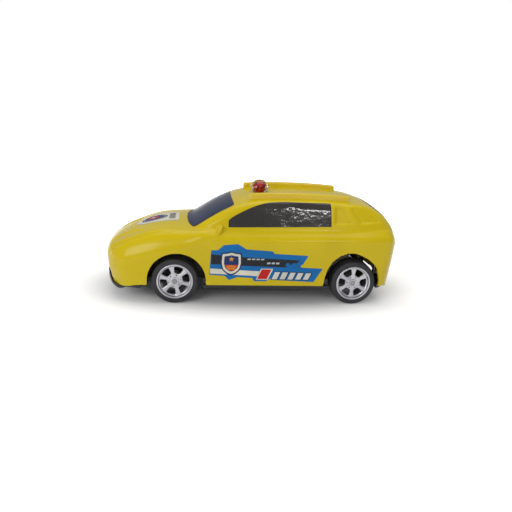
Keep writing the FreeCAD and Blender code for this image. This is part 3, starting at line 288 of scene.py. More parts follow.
def cabin(x, y, z):
    """The cabin: windscreen, roof, leaning sides with sculpted rear quarters, tailgate."""
    out = np.abs(y)
    steepness = np.sqrt(1 + CABIN.slope(x) ** 2 + fallen_slope(CABIN_FALL(x), out) ** 2)
    top = (z - CABIN(x) + fallen(CABIN_FALL(x), out)) / steepness
    width = CABIN_PLAN(x) - CABIN_LEAN * (z - HOOD(x))
    dent = np.minimum(outline_field(QUARTER_FRONT, x, z, 0.8), outline_field(QUARTER_REAR, x, z, 0.8))
    width = width - QUARTER_DEPTH * ease(0.7, -1.1, dent)
    side = (out - width) / np.sqrt(1 + CABIN_LEAN ** 2)
    body = meet(top, side, CABIN_EDGE(x))
    body = meet(body, x - (TAIL - 0.6 - TAIL_BACK(z) - fallen(TAIL_BOW, out)), 1.0)
    return np.maximum(body, CABIN_FLOOR - z)


def body_core(x, y, z):
    """The smooth car, without its small raised details."""
    return join(lower_body(x, y, z), cabin(x, y, z), BELT_FILLET)


def details(x, y, z):
    """Roof rails and mirrors."""
    out = np.abs(y)
    middle = RAIL_FRONT + RAIL_LENGTH / 2
    along = np.abs(x - middle) - RAIL_LENGTH / 2
    crest = RAIL_END_HEIGHT + RAIL_CROWN * (1 - ((x - middle) / (RAIL_LENGTH / 2)) ** 2)
    rail = meet(np.abs(out - RAIL_OFFSET) - RAIL_HALF_WIDTH, z - crest, 1.1)
    rail = np.maximum(meet(rail, along, 0.9), RAIL_ROOT - z)
    (mx, my, mz), (length, width, height) = MIRROR_PLACE, MIRROR_SIZE
    mirror = np.sqrt(((x - mx - MIRROR_RAKE * (z - mz)) / length) ** 2 + ((out - my) / width) ** 2
                     + ((z - mz) / height) ** 2)
    return np.minimum(rail, (mirror - 1) * 1.3)


def shell_outside(x, y, z):
    return join(body_core(x, y, z), details(x, y, z), 0.45)


def shell_inside(x, y, z):
    """The hollow, with a wall that is a little thicker above the sills."""
    return -(body_core(x, y, z) + WALL + 0.5 * ease(14, 20, z))


def shell_foot(x, y, z):
    return (SHELL_FOOT(x) - z + 0 * y) / np.sqrt(1 + SHELL_FOOT.slope(x) ** 2)


def front_arch(x, y, z):
    """Outside the front wheel's opening: a round arch with straight sides below."""
    cx, cz, radius = FRONT_ARCH
    return radius - np.sqrt((x - cx) ** 2 + np.maximum(z - cz, 0) ** 2) + 0 * y


def rear_arch(x, y, z):
    return -outline_field(REAR_ARCH, x, z, REAR_ARCH_CORNER) + 0 * y


SHELL_FIELDS = (shell_outside, shell_inside, shell_foot, front_arch, rear_arch)


# ---------------------------------------------------------------------------------------
# Meshes from fields
# ---------------------------------------------------------------------------------------

def slopes_of(field, points, reach=0.02):
    """A field's value and slope at many points."""
    x, y, z = points.T
    value = field(x, y, z)
    steps = []
    for axis in range(3):
        shift = np.zeros(3)
        shift[axis] = reach
        ahead, behind = (points + shift).T, (points - shift).T
        steps.append((field(*ahead) - field(*behind)) / (2 * reach))
    return value, np.stack(steps, 1)


def settle(points, field, mask=None):
    """Moves points straight onto a field's surface."""
    where = slice(None) if mask is None else mask
    some = points[where]
    if not len(some):
        return
    value, slope = slopes_of(field, some)
    length = np.maximum((slope ** 2).sum(1), 0.05)
    move = slope * (value / length)[:, None]
    far = np.linalg.norm(move, axis=1)
    move *= np.minimum(1, 0.6 / np.maximum(far, 1e-9))[:, None]
    points[where] = some - move


def field_mesh(fields, low, high, step, half=False):
    """Vertices and quads of where all the fields are negative.

    With half, low is given for the left half only: the grid stops just past y = 0, the last
    vertices are laid on y = 0, and the result is mirrored."""
    axes = [np.arange(low[axis], high[axis] + step, step) for axis in range(3)]
    if half:
        axes[1] = np.arange(-(math.ceil(-low[1] / step) + 0.5), 1.0) * step
    x, y, z = np.meshgrid(*axes, indexing="ij", sparse=True)
    value = fields[0](x, y, z)
    for field in fields[1:]:
        value = np.maximum(value, field(x, y, z))
    inside = value < 0
    shape = tuple(n - 1 for n in value.shape)
    count = np.zeros(shape, np.int8)
    for i in (0, 1):
        for j in (0, 1):
            for k in (0, 1):
                count += inside[i:i + shape[0], j:j + shape[1], k:k + shape[2]]
    cells = np.argwhere((count > 0) & (count < 8))
    number = np.full(shape, -1)
    number[tuple(cells.T)] = np.arange(len(cells))
    total = np.zeros((len(cells), 3))
    hits = np.zeros(len(cells))
    for axis in range(3):
        others = [a for a in range(3) if a != axis]
        for i in (0, 1):
            for j in (0, 1):
                start = cells.copy()
                start[:, others[0]] += i
                start[:, others[1]] += j
                end = start.copy()
                end[:, axis] += 1
                v0, v1 = value[tuple(start.T)], value[tuple(end.T)]
                cross = (v0 < 0) != (v1 < 0)
                place = (start - cells).astype(float)
                place[:, axis] = np.where(cross, v0 / np.where(cross, v0 - v1, 1), 0)
                total[cross] += place[cross]
                hits[cross] += 1
    points = (cells + total / hits[:, None]) * step + np.array([axis[0] for axis in axes])
    quads = []
    for axis in range(3):
        a, b = [(1, 2), (2, 0), (0, 1)][axis]
        lead = [slice(None)] * 3
        lead[axis] = slice(0, -1)
        next_ = [slice(None)] * 3
        next_[axis] = slice(1, None)
        change = inside[tuple(lead)].astype(int) - inside[tuple(next_)]
        where = np.argwhere(change != 0)
        ok = (where[:, a] > 0) & (where[:, b] > 0)
        ok &= (where[:, a] < shape[a]) & (where[:, b] < shape[b])
        where = where[ok]
        sign = change[tuple(where.T)]
        ring = []
        for da, db in ((0, 0), (1, 0), (1, 1), (0, 1)):
            cell = where.copy()
            cell[:, a] -= da
            cell[:, b] -= db
            ring.append(number[tuple(cell.T)])
        ring = np.stack(ring, 1)
        ring[sign < 0] = ring[sign < 0][:, ::-1]
        quads.append(ring)
    quads = np.concatenate(quads)
    near = 0.55 * step
    for _ in range(4):
        values = np.abs(np.stack([field(*points.T) for field in fields], 1))
        closest = values.argmin(1)
        for index, field in enumerate(fields):
            settle(points, field, (values[:, index] < near) | (closest == index))
    if half:
        middle = cells[:, 1] == shape[1] - 1
        points[middle, 1] = 0
        twin = points * np.array([1, -1, 1])
        index = np.arange(len(points)) + len(points)
        index[middle] = np.arange(len(points))[middle]
        quads = np.concatenate([quads, index[quads][:, ::-1]])
        points = np.concatenate([points, twin])
    return points, quads


def mesh_object(name, points, faces, smooth_angle=35.0):
    """A piece from points in millimetres. Loose points are left out."""
    faces = np.asarray(faces)
    used, flat = np.unique(faces, return_inverse=True)
    faces = flat.reshape(faces.shape)
    points = np.asarray(points)[used] * MM
    mesh = bpy.data.meshes.new(name)
    mesh.vertices.add(len(points))
    mesh.vertices.foreach_set("co", points.astype(np.float32).ravel())
    sides = faces.shape[1]
    mesh.loops.add(faces.size)
    mesh.loops.foreach_set("vertex_index", faces.astype(np.int32).ravel())
    mesh.polygons.add(len(faces))
    mesh.polygons.foreach_set("loop_start", np.arange(0, faces.size, sides, dtype=np.int32))
    mesh.update(calc_edges=True)
    mesh.validate()
    mesh.shade_smooth()
    mesh.set_sharp_from_angle(angle=math.radians(smooth_angle))
    thing = bpy.data.objects.new(name, mesh)
    bpy.context.scene.collection.objects.link(thing)
    return thing


# ---------------------------------------------------------------------------------------
# Materials
# ---------------------------------------------------------------------------------------

def shade(red, green, blue):
    """A colour given in screen values, 0 to 255."""
    linear = []
    for value in (red, green, blue):
        value /= 255
        linear.append(value / 12.92 if value <= 0.04045 else ((value + 0.055) / 1.055) ** 2.4)
    return (*linear, 1.0)


def finish(name, colour, second, roughness=0.4, spread=0.08, cloud=90.0, grain=2500.0, bump=0.03,
           depth=0.00005, metallic=0.0, **sockets):
    """A procedural finish: two shades in soft clouds, uneven gloss and a fine moulded grain.

    cloud and grain are in waves per metre, depth is the grain's depth in metres."""
    material = bpy.data.materials.new(name)
    material.use_nodes = True
    nodes, links = material.node_tree.nodes, material.node_tree.links
    shader = nodes["Principled BSDF"]
    place = nodes.new("ShaderNodeTexCoord")
    clouds = nodes.new("ShaderNodeTexNoise")
    clouds.inputs["Scale"].default_value = cloud
    clouds.inputs["Detail"].default_value = 4.0
    links.new(place.outputs["Object"], clouds.inputs["Vector"])
    ramp = nodes.new("ShaderNodeValToRGB")
    ramp.color_ramp.elements[0].position = 0.35
    ramp.color_ramp.elements[1].position = 0.65
    ramp.color_ramp.elements[0].color = colour
    ramp.color_ramp.elements[1].color = second
    links.new(clouds.outputs["Fac"], ramp.inputs["Fac"])
    links.new(ramp.outputs["Color"], shader.inputs["Base Color"])
    fine = nodes.new("ShaderNodeTexNoise")
    fine.inputs["Scale"].default_value = grain
    fine.inputs["Detail"].default_value = 3.0
    links.new(place.outputs["Object"], fine.inputs["Vector"])
    gloss = nodes.new("ShaderNodeMapRange")
    gloss.inputs["To Min"].default_value = max(roughness - spread, 0.02)
    gloss.inputs["To Max"].default_value = roughness + spread
    links.new(fine.outputs["Fac"], gloss.inputs["Value"])
    links.new(gloss.outputs["Result"], shader.inputs["Roughness"])
    relief = nodes.new("ShaderNodeBump")
    relief.inputs["Strength"].default_value = bump
    relief.inputs["Distance"].default_value = depth
    links.new(fine.outputs["Fac"], relief.inputs["Height"])
    links.new(relief.outputs["Normal"], shader.inputs["Normal"])
    shader.inputs["Metallic"].default_value = metallic
    for socket, value in sockets.items():
        shader.inputs[socket.replace("_", " ")].default_value = value
    return material


YELLOW = finish("yellow_plastic", shade(212, 188, 4), shade(206, 181, 2), 0.24, 0.04, 45, 700, 0.12,
                0.0002, Coat_Weight=0.1, Coat_Roughness=0.06, Specular_IOR_Level=0.22,
                Subsurface_Weight=0.08, Subsurface_Radius=(0.004, 0.003, 0.0005), Subsurface_Scale=1.0)
# The rails are moulded in the shell's own plastic; their yellow is a lighter copy of it, painted light on
# the rails.
RAIL_PAINTED_LIGHT = finish("rail_yellow_painted_light", shade(222, 194, 8), shade(216, 184, 6), 0.3, 0.05, 60, 900,
                     0.15, 0.0002, Coat_Weight=0.2)
BLACK = finish("black_plastic", shade(20, 20, 22), shade(30, 30, 31), 0.45, 0.1, 70, 3000, 0.3)
TYRE = finish("tyre_rubber", shade(40, 40, 44), shade(50, 50, 54), 0.62, 0.1, 150, 4000, 0.35)
CHROME = finish("silver_plating", shade(196, 196, 200), shade(178, 178, 184), 0.36, 0.06, 200, 1500,
                0.1, metallic=0.9)
STEEL = finish("steel", shade(158, 158, 160), shade(132, 132, 136), 0.3, 0.1, 400, 5000, 0.2,
               metallic=1.0)
GREY = finish("grey_plastic", shade(186, 189, 190), shade(170, 173, 176), 0.42, 0.06)
IVORY = finish("ivory_plastic", shade(226, 222, 208), shade(214, 209, 194), 0.42, 0.06)
FILM = finish("window_film", shade(40, 37, 34), shade(50, 47, 43), 0.1, 0.04, 60, 300, 0.22, 0.0006,
              Coat_Weight=0.3, Coat_Roughness=0.05)
NAVY = finish("windscreen_film", shade(14, 30, 62), shade(22, 40, 78), 0.2, 0.04, 50, 260, 0.2,
              0.0004, Specular_IOR_Level=0.16)
# The dark border round each window film: painted shade of the gap along the window's edge.
EDGE_SHADE_FILM = finish("film_edge_painted_shade", shade(18, 20, 26), shade(26, 28, 34), 0.3, 0.05)


def ink(name, red, green, blue):
    """A printed colour on glossy paper."""
    darker = [0.93 * value for value in (red, green, blue)]
    return finish(name, shade(red, green, blue), shade(*darker), 0.34, 0.05, 120, 1800, 0.08,
                  Specular_IOR_Level=0.25)


INKS = {"blue": ink("ink_blue", 0, 106, 176), "black": ink("ink_black", 22, 24, 30),
        "cream": ink("ink_cream", 226, 222, 200), "navy": ink("ink_navy", 24, 44, 104),
        "orange": ink("ink_orange", 214, 84, 34), "red": ink("ink_red", 196, 24, 28),
        "silver": ink("ink_silver", 190, 196, 200), "pale": ink("ink_pale", 214, 214, 208),
        "gold": ink("ink_gold", 226, 160, 44)}
RED = finish("red_foil", shade(206, 14, 26), shade(150, 4, 14), 0.22, 0.1, 500, 900, 0.5, 0.0004,
             metallic=0.6)
GLASS = finish("clear_plastic", shade(246, 247, 250), shade(238, 240, 244), 0.05, 0.03, 200, 600,
               0.05, Transmission_Weight=1.0, IOR=1.49)


def dress(piece, body, node, slot, *materials):
    """Gives a new piece its finish and its body, and hides the CAD node that it stands for."""
    for material in materials:
        piece.data.materials.append(material)
    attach(piece, body)
    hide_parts(node)
    return piece


# ---------------------------------------------------------------------------------------
# Shell
# ---------------------------------------------------------------------------------------

SHELL_STEP, QUICK_SHELL_STEP = 0.58, 0.85
SHELL_MARGIN = 1.2
SHELL_LOWEST, SHELL_HIGHEST = 6.0, 59.5


def make_shell():
    low = np.array([NOSE - SHELL_MARGIN, -HALF - SHELL_MARGIN, SHELL_LOWEST])
    high = np.array([TAIL + SHELL_MARGIN, 1.0, SHELL_HIGHEST])
    step = SHELL_STEP
    points, quads = field_mesh(SHELL_FIELDS, low, high, step, half=True)
    shell = mesh_object("shell", points, quads)
    dress(shell, "car", "body_shell", "yellow_shell", YELLOW, RAIL_PAINTED_LIGHT)
    centres = np.empty(len(shell.data.polygons) * 3, np.float32)
    shell.data.polygons.foreach_get("center", centres)
    centres = centres.reshape(-1, 3).T / MM
    # The rail faces take the lighter copy of the shell's yellow: painted light.
    painted_light_rail_faces = (details(*centres) < 0.12) & (centres[2] > RAIL_ROOT + 4.0)
    shell.data.polygons.foreach_set("material_index", painted_light_rail_faces.astype(np.int32))


# ---------------------------------------------------------------------------------------
# Films and printed labels, laid on the shell
# ---------------------------------------------------------------------------------------

def rounded(points, radius, steps=5):
    """An outline with its corners rounded."""
    result = []
    for index, here in enumerate(points):
        here = np.array(here, float)
        back = np.array(points[index - 1], float) - here
        ahead = np.array(points[(index + 1) % len(points)], float) - here
        a, b = np.linalg.norm(back), np.linalg.norm(ahead)
        reach = min(radius, 0.45 * a, 0.45 * b)
        start, end = here + back / a * reach, here + ahead / b * reach
        for share in np.linspace(0, 1, steps):
            result.append(tuple((1 - share) ** 2 * start + 2 * share * (1 - share) * here
                                + share ** 2 * end))
    return result


def curve(points, steps=6):
    """A smooth chain through an open list of points."""
    points = np.array([points[0], *points, points[-1]], float)
    result = []
    for a, b, c, d in zip(points, points[1:], points[2:], points[3:]):
        for t in np.arange(steps) / steps:
            result.append(tuple(0.5 * (2 * b + (c - a) * t + (2 * a - 5 * b + 4 * c - d) * t * t
                                       + (3 * b - a - 3 * c + d) * t ** 3)))
    return result + [tuple(points[-1])]


def oval(cx, cz, a, b, turn=0.0, count=32):
    angles = np.arange(count) * 2 * math.pi / count
    u, w = a * np.cos(angles), b * np.sin(angles)
    return list(zip(cx + u * math.cos(turn) - w * math.sin(turn),
                    cz + u * math.sin(turn) + w * math.cos(turn)))


def slant(x0, x1, z0, z1, lean):
    """A leaning block: its top is moved along by lean."""
    return [(x0, z0), (x1, z0), (x1 + lean, z1), (x0 + lean, z1)]


def star(cx, cz, radius):
    result = []
    for index in range(10):
        reach = radius if index % 2 == 0 else 0.42 * radius
        angle = math.radians(90 + 36 * index)
        result.append((cx + reach * math.cos(angle), cz + reach * math.sin(angle)))
    return result


def flat_mesh(outline, step):
    """Points, faces and edge of an outline's inside, cut into a grid."""
    area = sum(a[0] * b[1] - b[0] * a[1] for a, b in zip(outline, outline[1:] + outline[:1]))
    if area < 0:
        outline = outline[::-1]
    corners = [Vector(point) for point in outline]
    ring = [(index, (index + 1) % len(corners)) for index in range(len(corners))]
    spots, _, cells, *_ = delaunay_2d_cdt(corners, ring, [], 1, 1e-5)
    net = bmesh.new()
    verts = [net.verts.new((*spot, 0)) for spot in spots]
    for cell in cells:
        net.faces.new([verts[index] for index in cell])
    for axis in (0, 1):
        line = [point[axis] for point in outline]
        normal = Vector((1 - axis, axis, 0))
        for at in np.arange(math.floor(min(line) / step) + 1, max(line) / step) * step:
            bmesh.ops.bisect_plane(net, geom=net.verts[:] + net.edges[:] + net.faces[:],
                                   plane_co=normal * at, plane_no=normal, dist=1e-5)
    bmesh.ops.remove_doubles(net, verts=net.verts[:], dist=1e-4)
    net.verts.index_update()
    points = np.array([vertex.co[:2] for vertex in net.verts])
    faces = [[vertex.index for vertex in face.verts] for face in net.faces]
    rim = []
    for edge in net.edges:
        if len(edge.link_faces) == 1:
            loop = edge.link_loops[0]
            rim.append((loop.vert.index, loop.link_loop_next.vert.index))
    net.free()
    return points, faces, rim


def on_side(flat):
    """Points of the left side from their x and z."""
    x, z = flat.T
    y = np.full(len(flat), -HALF - 4.0)
    for _ in range(60):
        y = y + 0.9 * body_core(x, y, z)
    return np.stack([x, y, z], 1)


def on_top(flat):
    """Points of the top from their x and y."""
    x, y = flat.T
    z = np.full(len(flat), 63.0)
    for _ in range(60):
        z = z - 0.9 * body_core(x, y, z)
    return np.stack([x, y, z], 1)


LAYER = 0.035
FILM_STEP = 1.6


def film(name, node, slot, lay, prints, thickness=0.12, mirror=False):
    """A thin sheet on the shell. prints are (material, level, outline), the sheet's own first."""
    points, faces, marks, materials = [], [], [], []
    total = 0
    for material, level, outline in prints:
        flat, cells, rim = flat_mesh(outline, FILM_STEP)
        base = lay(flat)
        slope = slopes_of(body_core, base, 0.15)[1]
        out = slope / np.linalg.norm(slope, axis=1)[:, None]
        top = base + out * (thickness + LAYER * level)
        low = base + out * (0.01 if level == 0 else thickness + LAYER * (level - 1))
        count = len(flat)
        solid = [list(cell) for cell in cells]
        solid += [[index + count for index in reversed(cell)] for cell in cells]
        solid += [[b, a, a + count, b + count] for a, b in rim]
        if material not in materials:
            materials.append(material)
        points += [top, low]
        faces += [[index + total for index in face] for face in solid]
        marks += [materials.index(material)] * len(solid)
        total += 2 * count
    points = np.concatenate(points) * MM
    if mirror:
        points[:, 1] *= -1
        faces = [face[::-1] for face in faces]
    mesh = bpy.data.meshes.new(name)
    mesh.from_pydata(points.tolist(), [], faces)
    mesh.polygons.foreach_set("material_index", marks)
    mesh.shade_smooth()
    mesh.set_sharp_from_angle(angle=math.radians(40))
    piece = bpy.data.objects.new(name, mesh)
    bpy.context.scene.collection.objects.link(piece)
    dress(piece, "car", node, slot, *materials)


SIDE_WINDOW = ([(-14.4, 40.7)] + curve([(-14.3, 44.2), (-11.2, 46.4), (-3.6, 50.3), (3.4, 52.6),
                                        (9.0, 53.3), (14.8, 53.6)]) + [(38.1, 53.5), (38.7, 42.2)])
SIDE_LABEL = [(-22.9, 29.7), (-19.6, 29.8), (-16.6, 32.5), (-9.5, 33.2), (-5.2, 30.5), (8.3, 29.7),
              (9.3, 28.4), (27, 27.6), (24.3, 22.8), (22.6, 22.3), (24, 21.2), (35, 20.7),
              (30.8, 13.3), (9.3, 14.2), (7.5, 14.9), (5.9, 13.5), (-0.6, 13.4), (-1.5, 15.2),
              (-9.2, 15.6), (-13.6, 13.9), (-15.6, 16.2), (-23.6, 16.7)]
SHIELD = [(0, 6.4), (2.4, 5.6), (5.2, 5.5), (5.5, 0.0), (4.6, -3.6), (2.4, -5.7), (0, -6.7),
          (-2.4, -5.7), (-4.6, -3.6), (-5.5, 0.0), (-5.2, 5.5), (-2.4, 5.6)]
SHIELD_PLACE = (-12.6, 23.1)


def shield(scale, high=math.inf):
    """The side badge's outline at a scale, cut off above a height."""
    points = rounded([(a * scale, b * scale) for a, b in SHIELD], 0.8)
    cx, cz = SHIELD_PLACE
    return [(cx + a, cz + min(b, high)) for a, b in points]


def side_prints():
    """The side label: bands, a badge with a star, and rows of plain leaning blocks."""
    prints = [(INKS["blue"], 0, rounded(SIDE_LABEL, 0.25, 3))]
    prints.append((INKS["black"], 1, [(-22.8, 22.5), (-6.7, 21.8), (13.2, 21.3), (16.0, 21.2),
                                      (16.6, 22.9), (20.0, 22.7), (22.8, 25.1), (-6.7, 26.4),
                                      (-22.8, 27.6)]))
    prints.append((INKS["cream"], 1, [(-23.3, 17.4), (-6.4, 16.6), (1.0, 16.2), (2.1, 18.9),
                                      (-6.4, 19.3), (-23.2, 20.1)]))
    prints.append((INKS["navy"], 2, shield(1.0)))
    prints.append((INKS["cream"], 3, shield(0.88)))
    prints.append((INKS["navy"], 4, shield(0.68)))
    prints.append((INKS["orange"], 5, shield(0.62, high=-0.9)))
    prints.append((INKS["gold"], 5, star(SHIELD_PLACE[0], SHIELD_PLACE[1] + 2.2, 1.5)))
    for rise in (-1.9, -3.1):
        prints.append((INKS["gold"], 6, [(SHIELD_PLACE[0] + a, SHIELD_PLACE[1] + rise + b)
                                         for a, b in ((-2.2, -0.5), (0, 0.3), (2.2, -0.5),
                                                      (2.2, 0.0), (0, 0.8), (-2.2, 0.0))]))
    for colour, row, width, low, high, lean in (("silver", (-4.6, -2.3, 0.0, 2.3), 1.7, 25.0, 25.7, 0.3),
                                                ("silver", (5.6, 7.9, 10.2), 1.7, 22.9, 23.8, 0.3),
                                                ("blue", (15.2, 18.4, 21.6), 1.6, 21.9, 23.6, 0.6)):
        prints += [(INKS[colour], 2, slant(x, x + width, low, high, lean)) for x in row]
    prints.append((INKS["cream"], 2, slant(0.4, 6.6, 14.3, 20.4, 2.4)))
    prints.append((INKS["red"], 3, slant(1.0, 6.0, 14.7, 20.0, 2.2)))
    for index in range(5):
        x = 8.2 + 4.1 * index
        high = 19.0 - 0.12 * index
        prints.append((INKS["black"], 2, slant(x, x + 3.5, 14.2, high, 1.7)))
        prints.append((INKS["pale"], 3, slant(x + 0.35, x + 3.1, 14.6, high - 0.35, 1.5)))
    return prints


HOOD_LABEL = [(-63.4, 0), (-59.0, -6.6), (-52.0, -9.2), (-39.8, -9.6), (-39.8, 9.6), (-52.0, 9.2),
              (-59.0, 6.6)]


def hood_prints():
    """The hood label: a round badge with a star, and plain bars."""
    prints = [(INKS["silver"], 0, rounded(HOOD_LABEL, 1.2)),
              (INKS["cream"], 1, rounded([(x + 0.3 * (x < -45), 0.92 * y) for x, y in HOOD_LABEL], 1.2)),
              (INKS["navy"], 2, oval(-53.0, 0, 6.9, 5.6)), (INKS["silver"], 3, oval(-53.0, 0, 5.9, 4.6)),
              (INKS["navy"], 4, oval(-53.0, 0, 5.4, 4.1)), (INKS["red"], 5, oval(-53.6, 0, 2.8, 2.5)),
              (INKS["cream"], 6, [(x - 53.6, y) for y, x in star(0, 0, 1.5)])]
    for y in (-5.2, -2.6, 0.0, 2.6, 5.2):
        prints.append((INKS["black"], 2, slant(-45.2, -42.0, y - 0.75, y + 0.75, 0.3)))
    return prints


WINDSCREEN = ([(-31.9, -21.7), (-34.3, -15.0), (-35.3, -7.5), (-35.5, 0), (-35.3, 7.5), (-34.3, 15.0),
               (-31.9, 21.7), (-21.5, 21.2), (-11.3, 20.0), (-11.8, 10.0), (-12.0, 0), (-11.8, -10.0),
               (-11.3, -20.0), (-21.5, -21.2)])
REAR_WINDOW = [(62.6, -15.6), (66.5, -17.0), (70.6, -16.4), (71.4, -8.0), (71.6, 0), (71.4, 8.0),
               (70.6, 16.4), (66.5, 17.0), (62.6, 15.6), (61.9, 8.0), (61.8, 0), (61.9, -8.0)]


def shrunk(points, middle, along, across):
    """An outline made smaller about a place on the middle line."""
    return [(middle + (x - middle) * along, y * across) for x, y in points]


def make_films():
    # Each window film has a dark border of painted shade round its glass.
    side_window = [(EDGE_SHADE_FILM, 0, rounded(SIDE_WINDOW, 0.5, 3)),
                   (FILM, 1, rounded(grown(SIDE_WINDOW[::-1], -0.35), 0.4, 3))]
    for side, mirror in (("left", False), ("right", True)):
        film("window_film_" + side, "side_window_" + side, "dark_film", on_side, side_window,
             mirror=mirror)
        film("side_print_" + side, "side_label_" + side, "side_label_film", on_side, side_prints(),
             0.1, mirror)
    film("hood_print", "hood_label", "hood_label_film", on_top, hood_prints(), 0.1)
    film("windscreen_film", "windscreen", "navy_film", on_top,
         [(EDGE_SHADE_FILM, 0, rounded(WINDSCREEN, 2.2)),
          (NAVY, 1, rounded(shrunk(WINDSCREEN, -23.333, 0.955, 0.955), 2.0))])
    film("rear_window_film", "rear_window", "dark_film", on_top,
         [(EDGE_SHADE_FILM, 0, rounded(REAR_WINDOW, 1.6)),
          (NAVY, 1, rounded(shrunk(REAR_WINDOW, 66.7, 0.92, 0.955), 1.5))])


# ---------------------------------------------------------------------------------------
# Wheels
# ---------------------------------------------------------------------------------------

RIM_RADIUS, RIM_SPOKES = 9.3, 6
RIM_LIP, HUB_RADIUS, CAP_RADIUS, BORE_RADIUS = 0.95, 2.9, 2.0, 1.02
LUG_PLACE, LUG_RADIUS = 3.0, 0.4
RIM_STEP, QUICK_RIM_STEP = 0.22, 0.3
rim_low, rim_high = box_mm("rim_front_left")
RIM_WIDTH = rim_high[1] - rim_low[1]


def rim_face(x, y, z):
    """The rim, its face at y = 0 and its axle along +y."""
    radius = np.sqrt(x * x + z * z)
    turn = np.arctan2(z, x)
    part = 2 * math.pi / RIM_SPOKES
    angle = (turn + part / 2) % part - part / 2
    along = radius * np.cos(angle)
    across = radius * np.abs(np.sin(angle))
    barrel = meet(radius - RIM_RADIUS, RIM_RADIUS - RIM_LIP - radius, 0.25)
    barrel = meet(barrel, -y, 0.35)
    crown = 0.4 * ease(0.0, 2.2, across - 0.33 * along + 0.6)
    dish = 1.35 - crown - 0.5 * ease(7.6, 8.6, radius) + 0.15 * ease(2.2, 3.6, radius)
    disc = np.maximum(meet(dish - y, radius - 8.7, 0.3), y - dish - 1.7)
    hole = meet(meet(4.0 - along, radius - 7.5, 0.9), across - (0.37 * along - 0.15), 0.7)
    disc = meet(disc, -hole, 0.3)
    cap = meet(meet(radius - CAP_RADIUS, 0.72 - y, 0.25), 1.25 - radius, 0.2)
    hub = np.maximum(radius - HUB_RADIUS, 1.4 - y)
    lug = np.sqrt((along - LUG_PLACE) ** 2 + across ** 2) - LUG_RADIUS
    disc = meet(disc, -meet(lug, y - 2.6, 0.1), 0.08)
    rim = np.minimum(join(barrel, disc, 0.4), hub)
    return join(rim, np.maximum(cap, y - 2.0), 0.15)


def rim_bore(x, y, z):
    return BORE_RADIUS - np.sqrt(x * x + z * z) + 0 * y


def rim_back(x, y, z):
    return y - RIM_WIDTH + 0 * x


def lathe(name, profile, steps=120):
    """A closed outline of (radius, place along y) turned round the y axis."""
    profile = np.array(profile, float)
    count = len(profile)
    angles = np.arange(steps) * 2 * math.pi / steps
    points = np.stack([np.outer(np.cos(angles), profile[:, 0]),
                       np.broadcast_to(profile[:, 1], (steps, count)),
                       np.outer(np.sin(angles), profile[:, 0])], 2).reshape(-1, 3)
    ring, spot = np.meshgrid(np.arange(steps), np.arange(count), indexing="ij")
    next_ring, next_spot = (ring + 1) % steps, (spot + 1) % count
    faces = np.stack([ring * count + spot, ring * count + next_spot, next_ring * count + next_spot,
                      next_ring * count + spot], 2).reshape(-1, 4)
    return mesh_object(name, points, faces, 28.0)


def tyre_profile():
    """The tyre's section: bead, ribbed side wall, rounded shoulder, grooved tread."""
    width, outer, inner = RIM_WIDTH, TYRE_RADIUS, RIM_RADIUS + 0.02
    half = [(inner, 0.25), (inner + 0.2, 0.05), (9.85, 0.05), (9.95, 0.2), (10.25, 0.2), (10.35, 0.05),
            (10.75, 0.12), (10.85, 0.28), (11.0, 0.3), (11.1, 0.2), (11.45, 0.35), (11.8, 0.75),
            (11.97, 1.3), (outer, 1.9), (outer, 2.75), (11.72, 2.8), (11.72, 3.1), (outer, 3.15),
            (outer, 4.4), (11.72, 4.45)]
    far = [(radius, width - place) for radius, place in reversed(half)]
    return half + far


def make_wheels():
    step = RIM_STEP
    reach = RIM_RADIUS + 0.4
    points, quads = field_mesh((rim_face, rim_bore, rim_back), np.array([-reach, -0.5, -reach]),
                               np.array([reach, RIM_WIDTH + 0.6, reach]), step)
    rim_mesh = mesh_object("rim_pattern", points, quads, 40.0)
    tyre = lathe("tyre_pattern", tyre_profile())
    for end, body, phase in (("front", "front_wheels", 14.0), ("rear", "rear_wheels", 0.0)):
        for side in ("left", "right"):
            low, high = box_mm("rim_%s_%s" % (end, side))
            face_y = low[1] if side == "left" else high[1]
            place = Vector(((low[0] + high[0]) / 2, face_y, (low[2] + high[2]) / 2)) * MM
            flip = 0.0 if side == "left" else math.pi
            for pattern, kind, slot, material in ((rim_mesh, "rim", "silver_rim", CHROME),
                                                  (tyre, "tyre", "tyre", TYRE)):
                piece = bpy.data.objects.new("%s_%s_%s_look" % (kind, end, side), pattern.data.copy())
                bpy.context.scene.collection.objects.link(piece)
                piece.data.transform(Matrix.Translation(place) @ Matrix.Rotation(flip, 4, "Z")
                                     @ Matrix.Rotation(-math.radians(phase), 4, "Y"))
                dress(piece, body, "%s_%s_%s" % (kind, end, side), slot, material)
    for pattern in (rim_mesh, tyre):
        bpy.data.objects.remove(pattern)


# ---------------------------------------------------------------------------------------
# Beacon
# ---------------------------------------------------------------------------------------

def gem(name, rings, sides, centre):
    """Facets between rings of (radius, height, part of a step that the ring is turned)."""
    points, faces = [], []
    for radius, height, turned in rings:
        for index in range(sides):
            angle = (index + turned) * 2 * math.pi / sides
            points.append((centre[0] + radius * math.cos(angle), centre[1] + radius * math.sin(angle),
                           height))
    for row in range(len(rings) - 1):
        turns_on = rings[row + 1][2] > rings[row][2]
        for index in range(sides):
            a, b = row * sides + index, row * sides + (index + 1) % sides
            c = (row + 1) * sides + index
            d = (row + 1) * sides + (index + 1) % sides
            faces += [[a, b, c], [b, d, c]] if turns_on else [[a, b, d], [a, d, c]]
    low, high = len(points), len(points) + 1
    points += [(*centre, rings[0][1]), (*centre, rings[-1][1])]
    last = (len(rings) - 1) * sides
    for index in range(sides):
        after = (index + 1) % sides
        faces += [[low, after, index], [high, last + index, last + after]]
    return mesh_object(name, np.array(points), np.array(faces), 4.0)


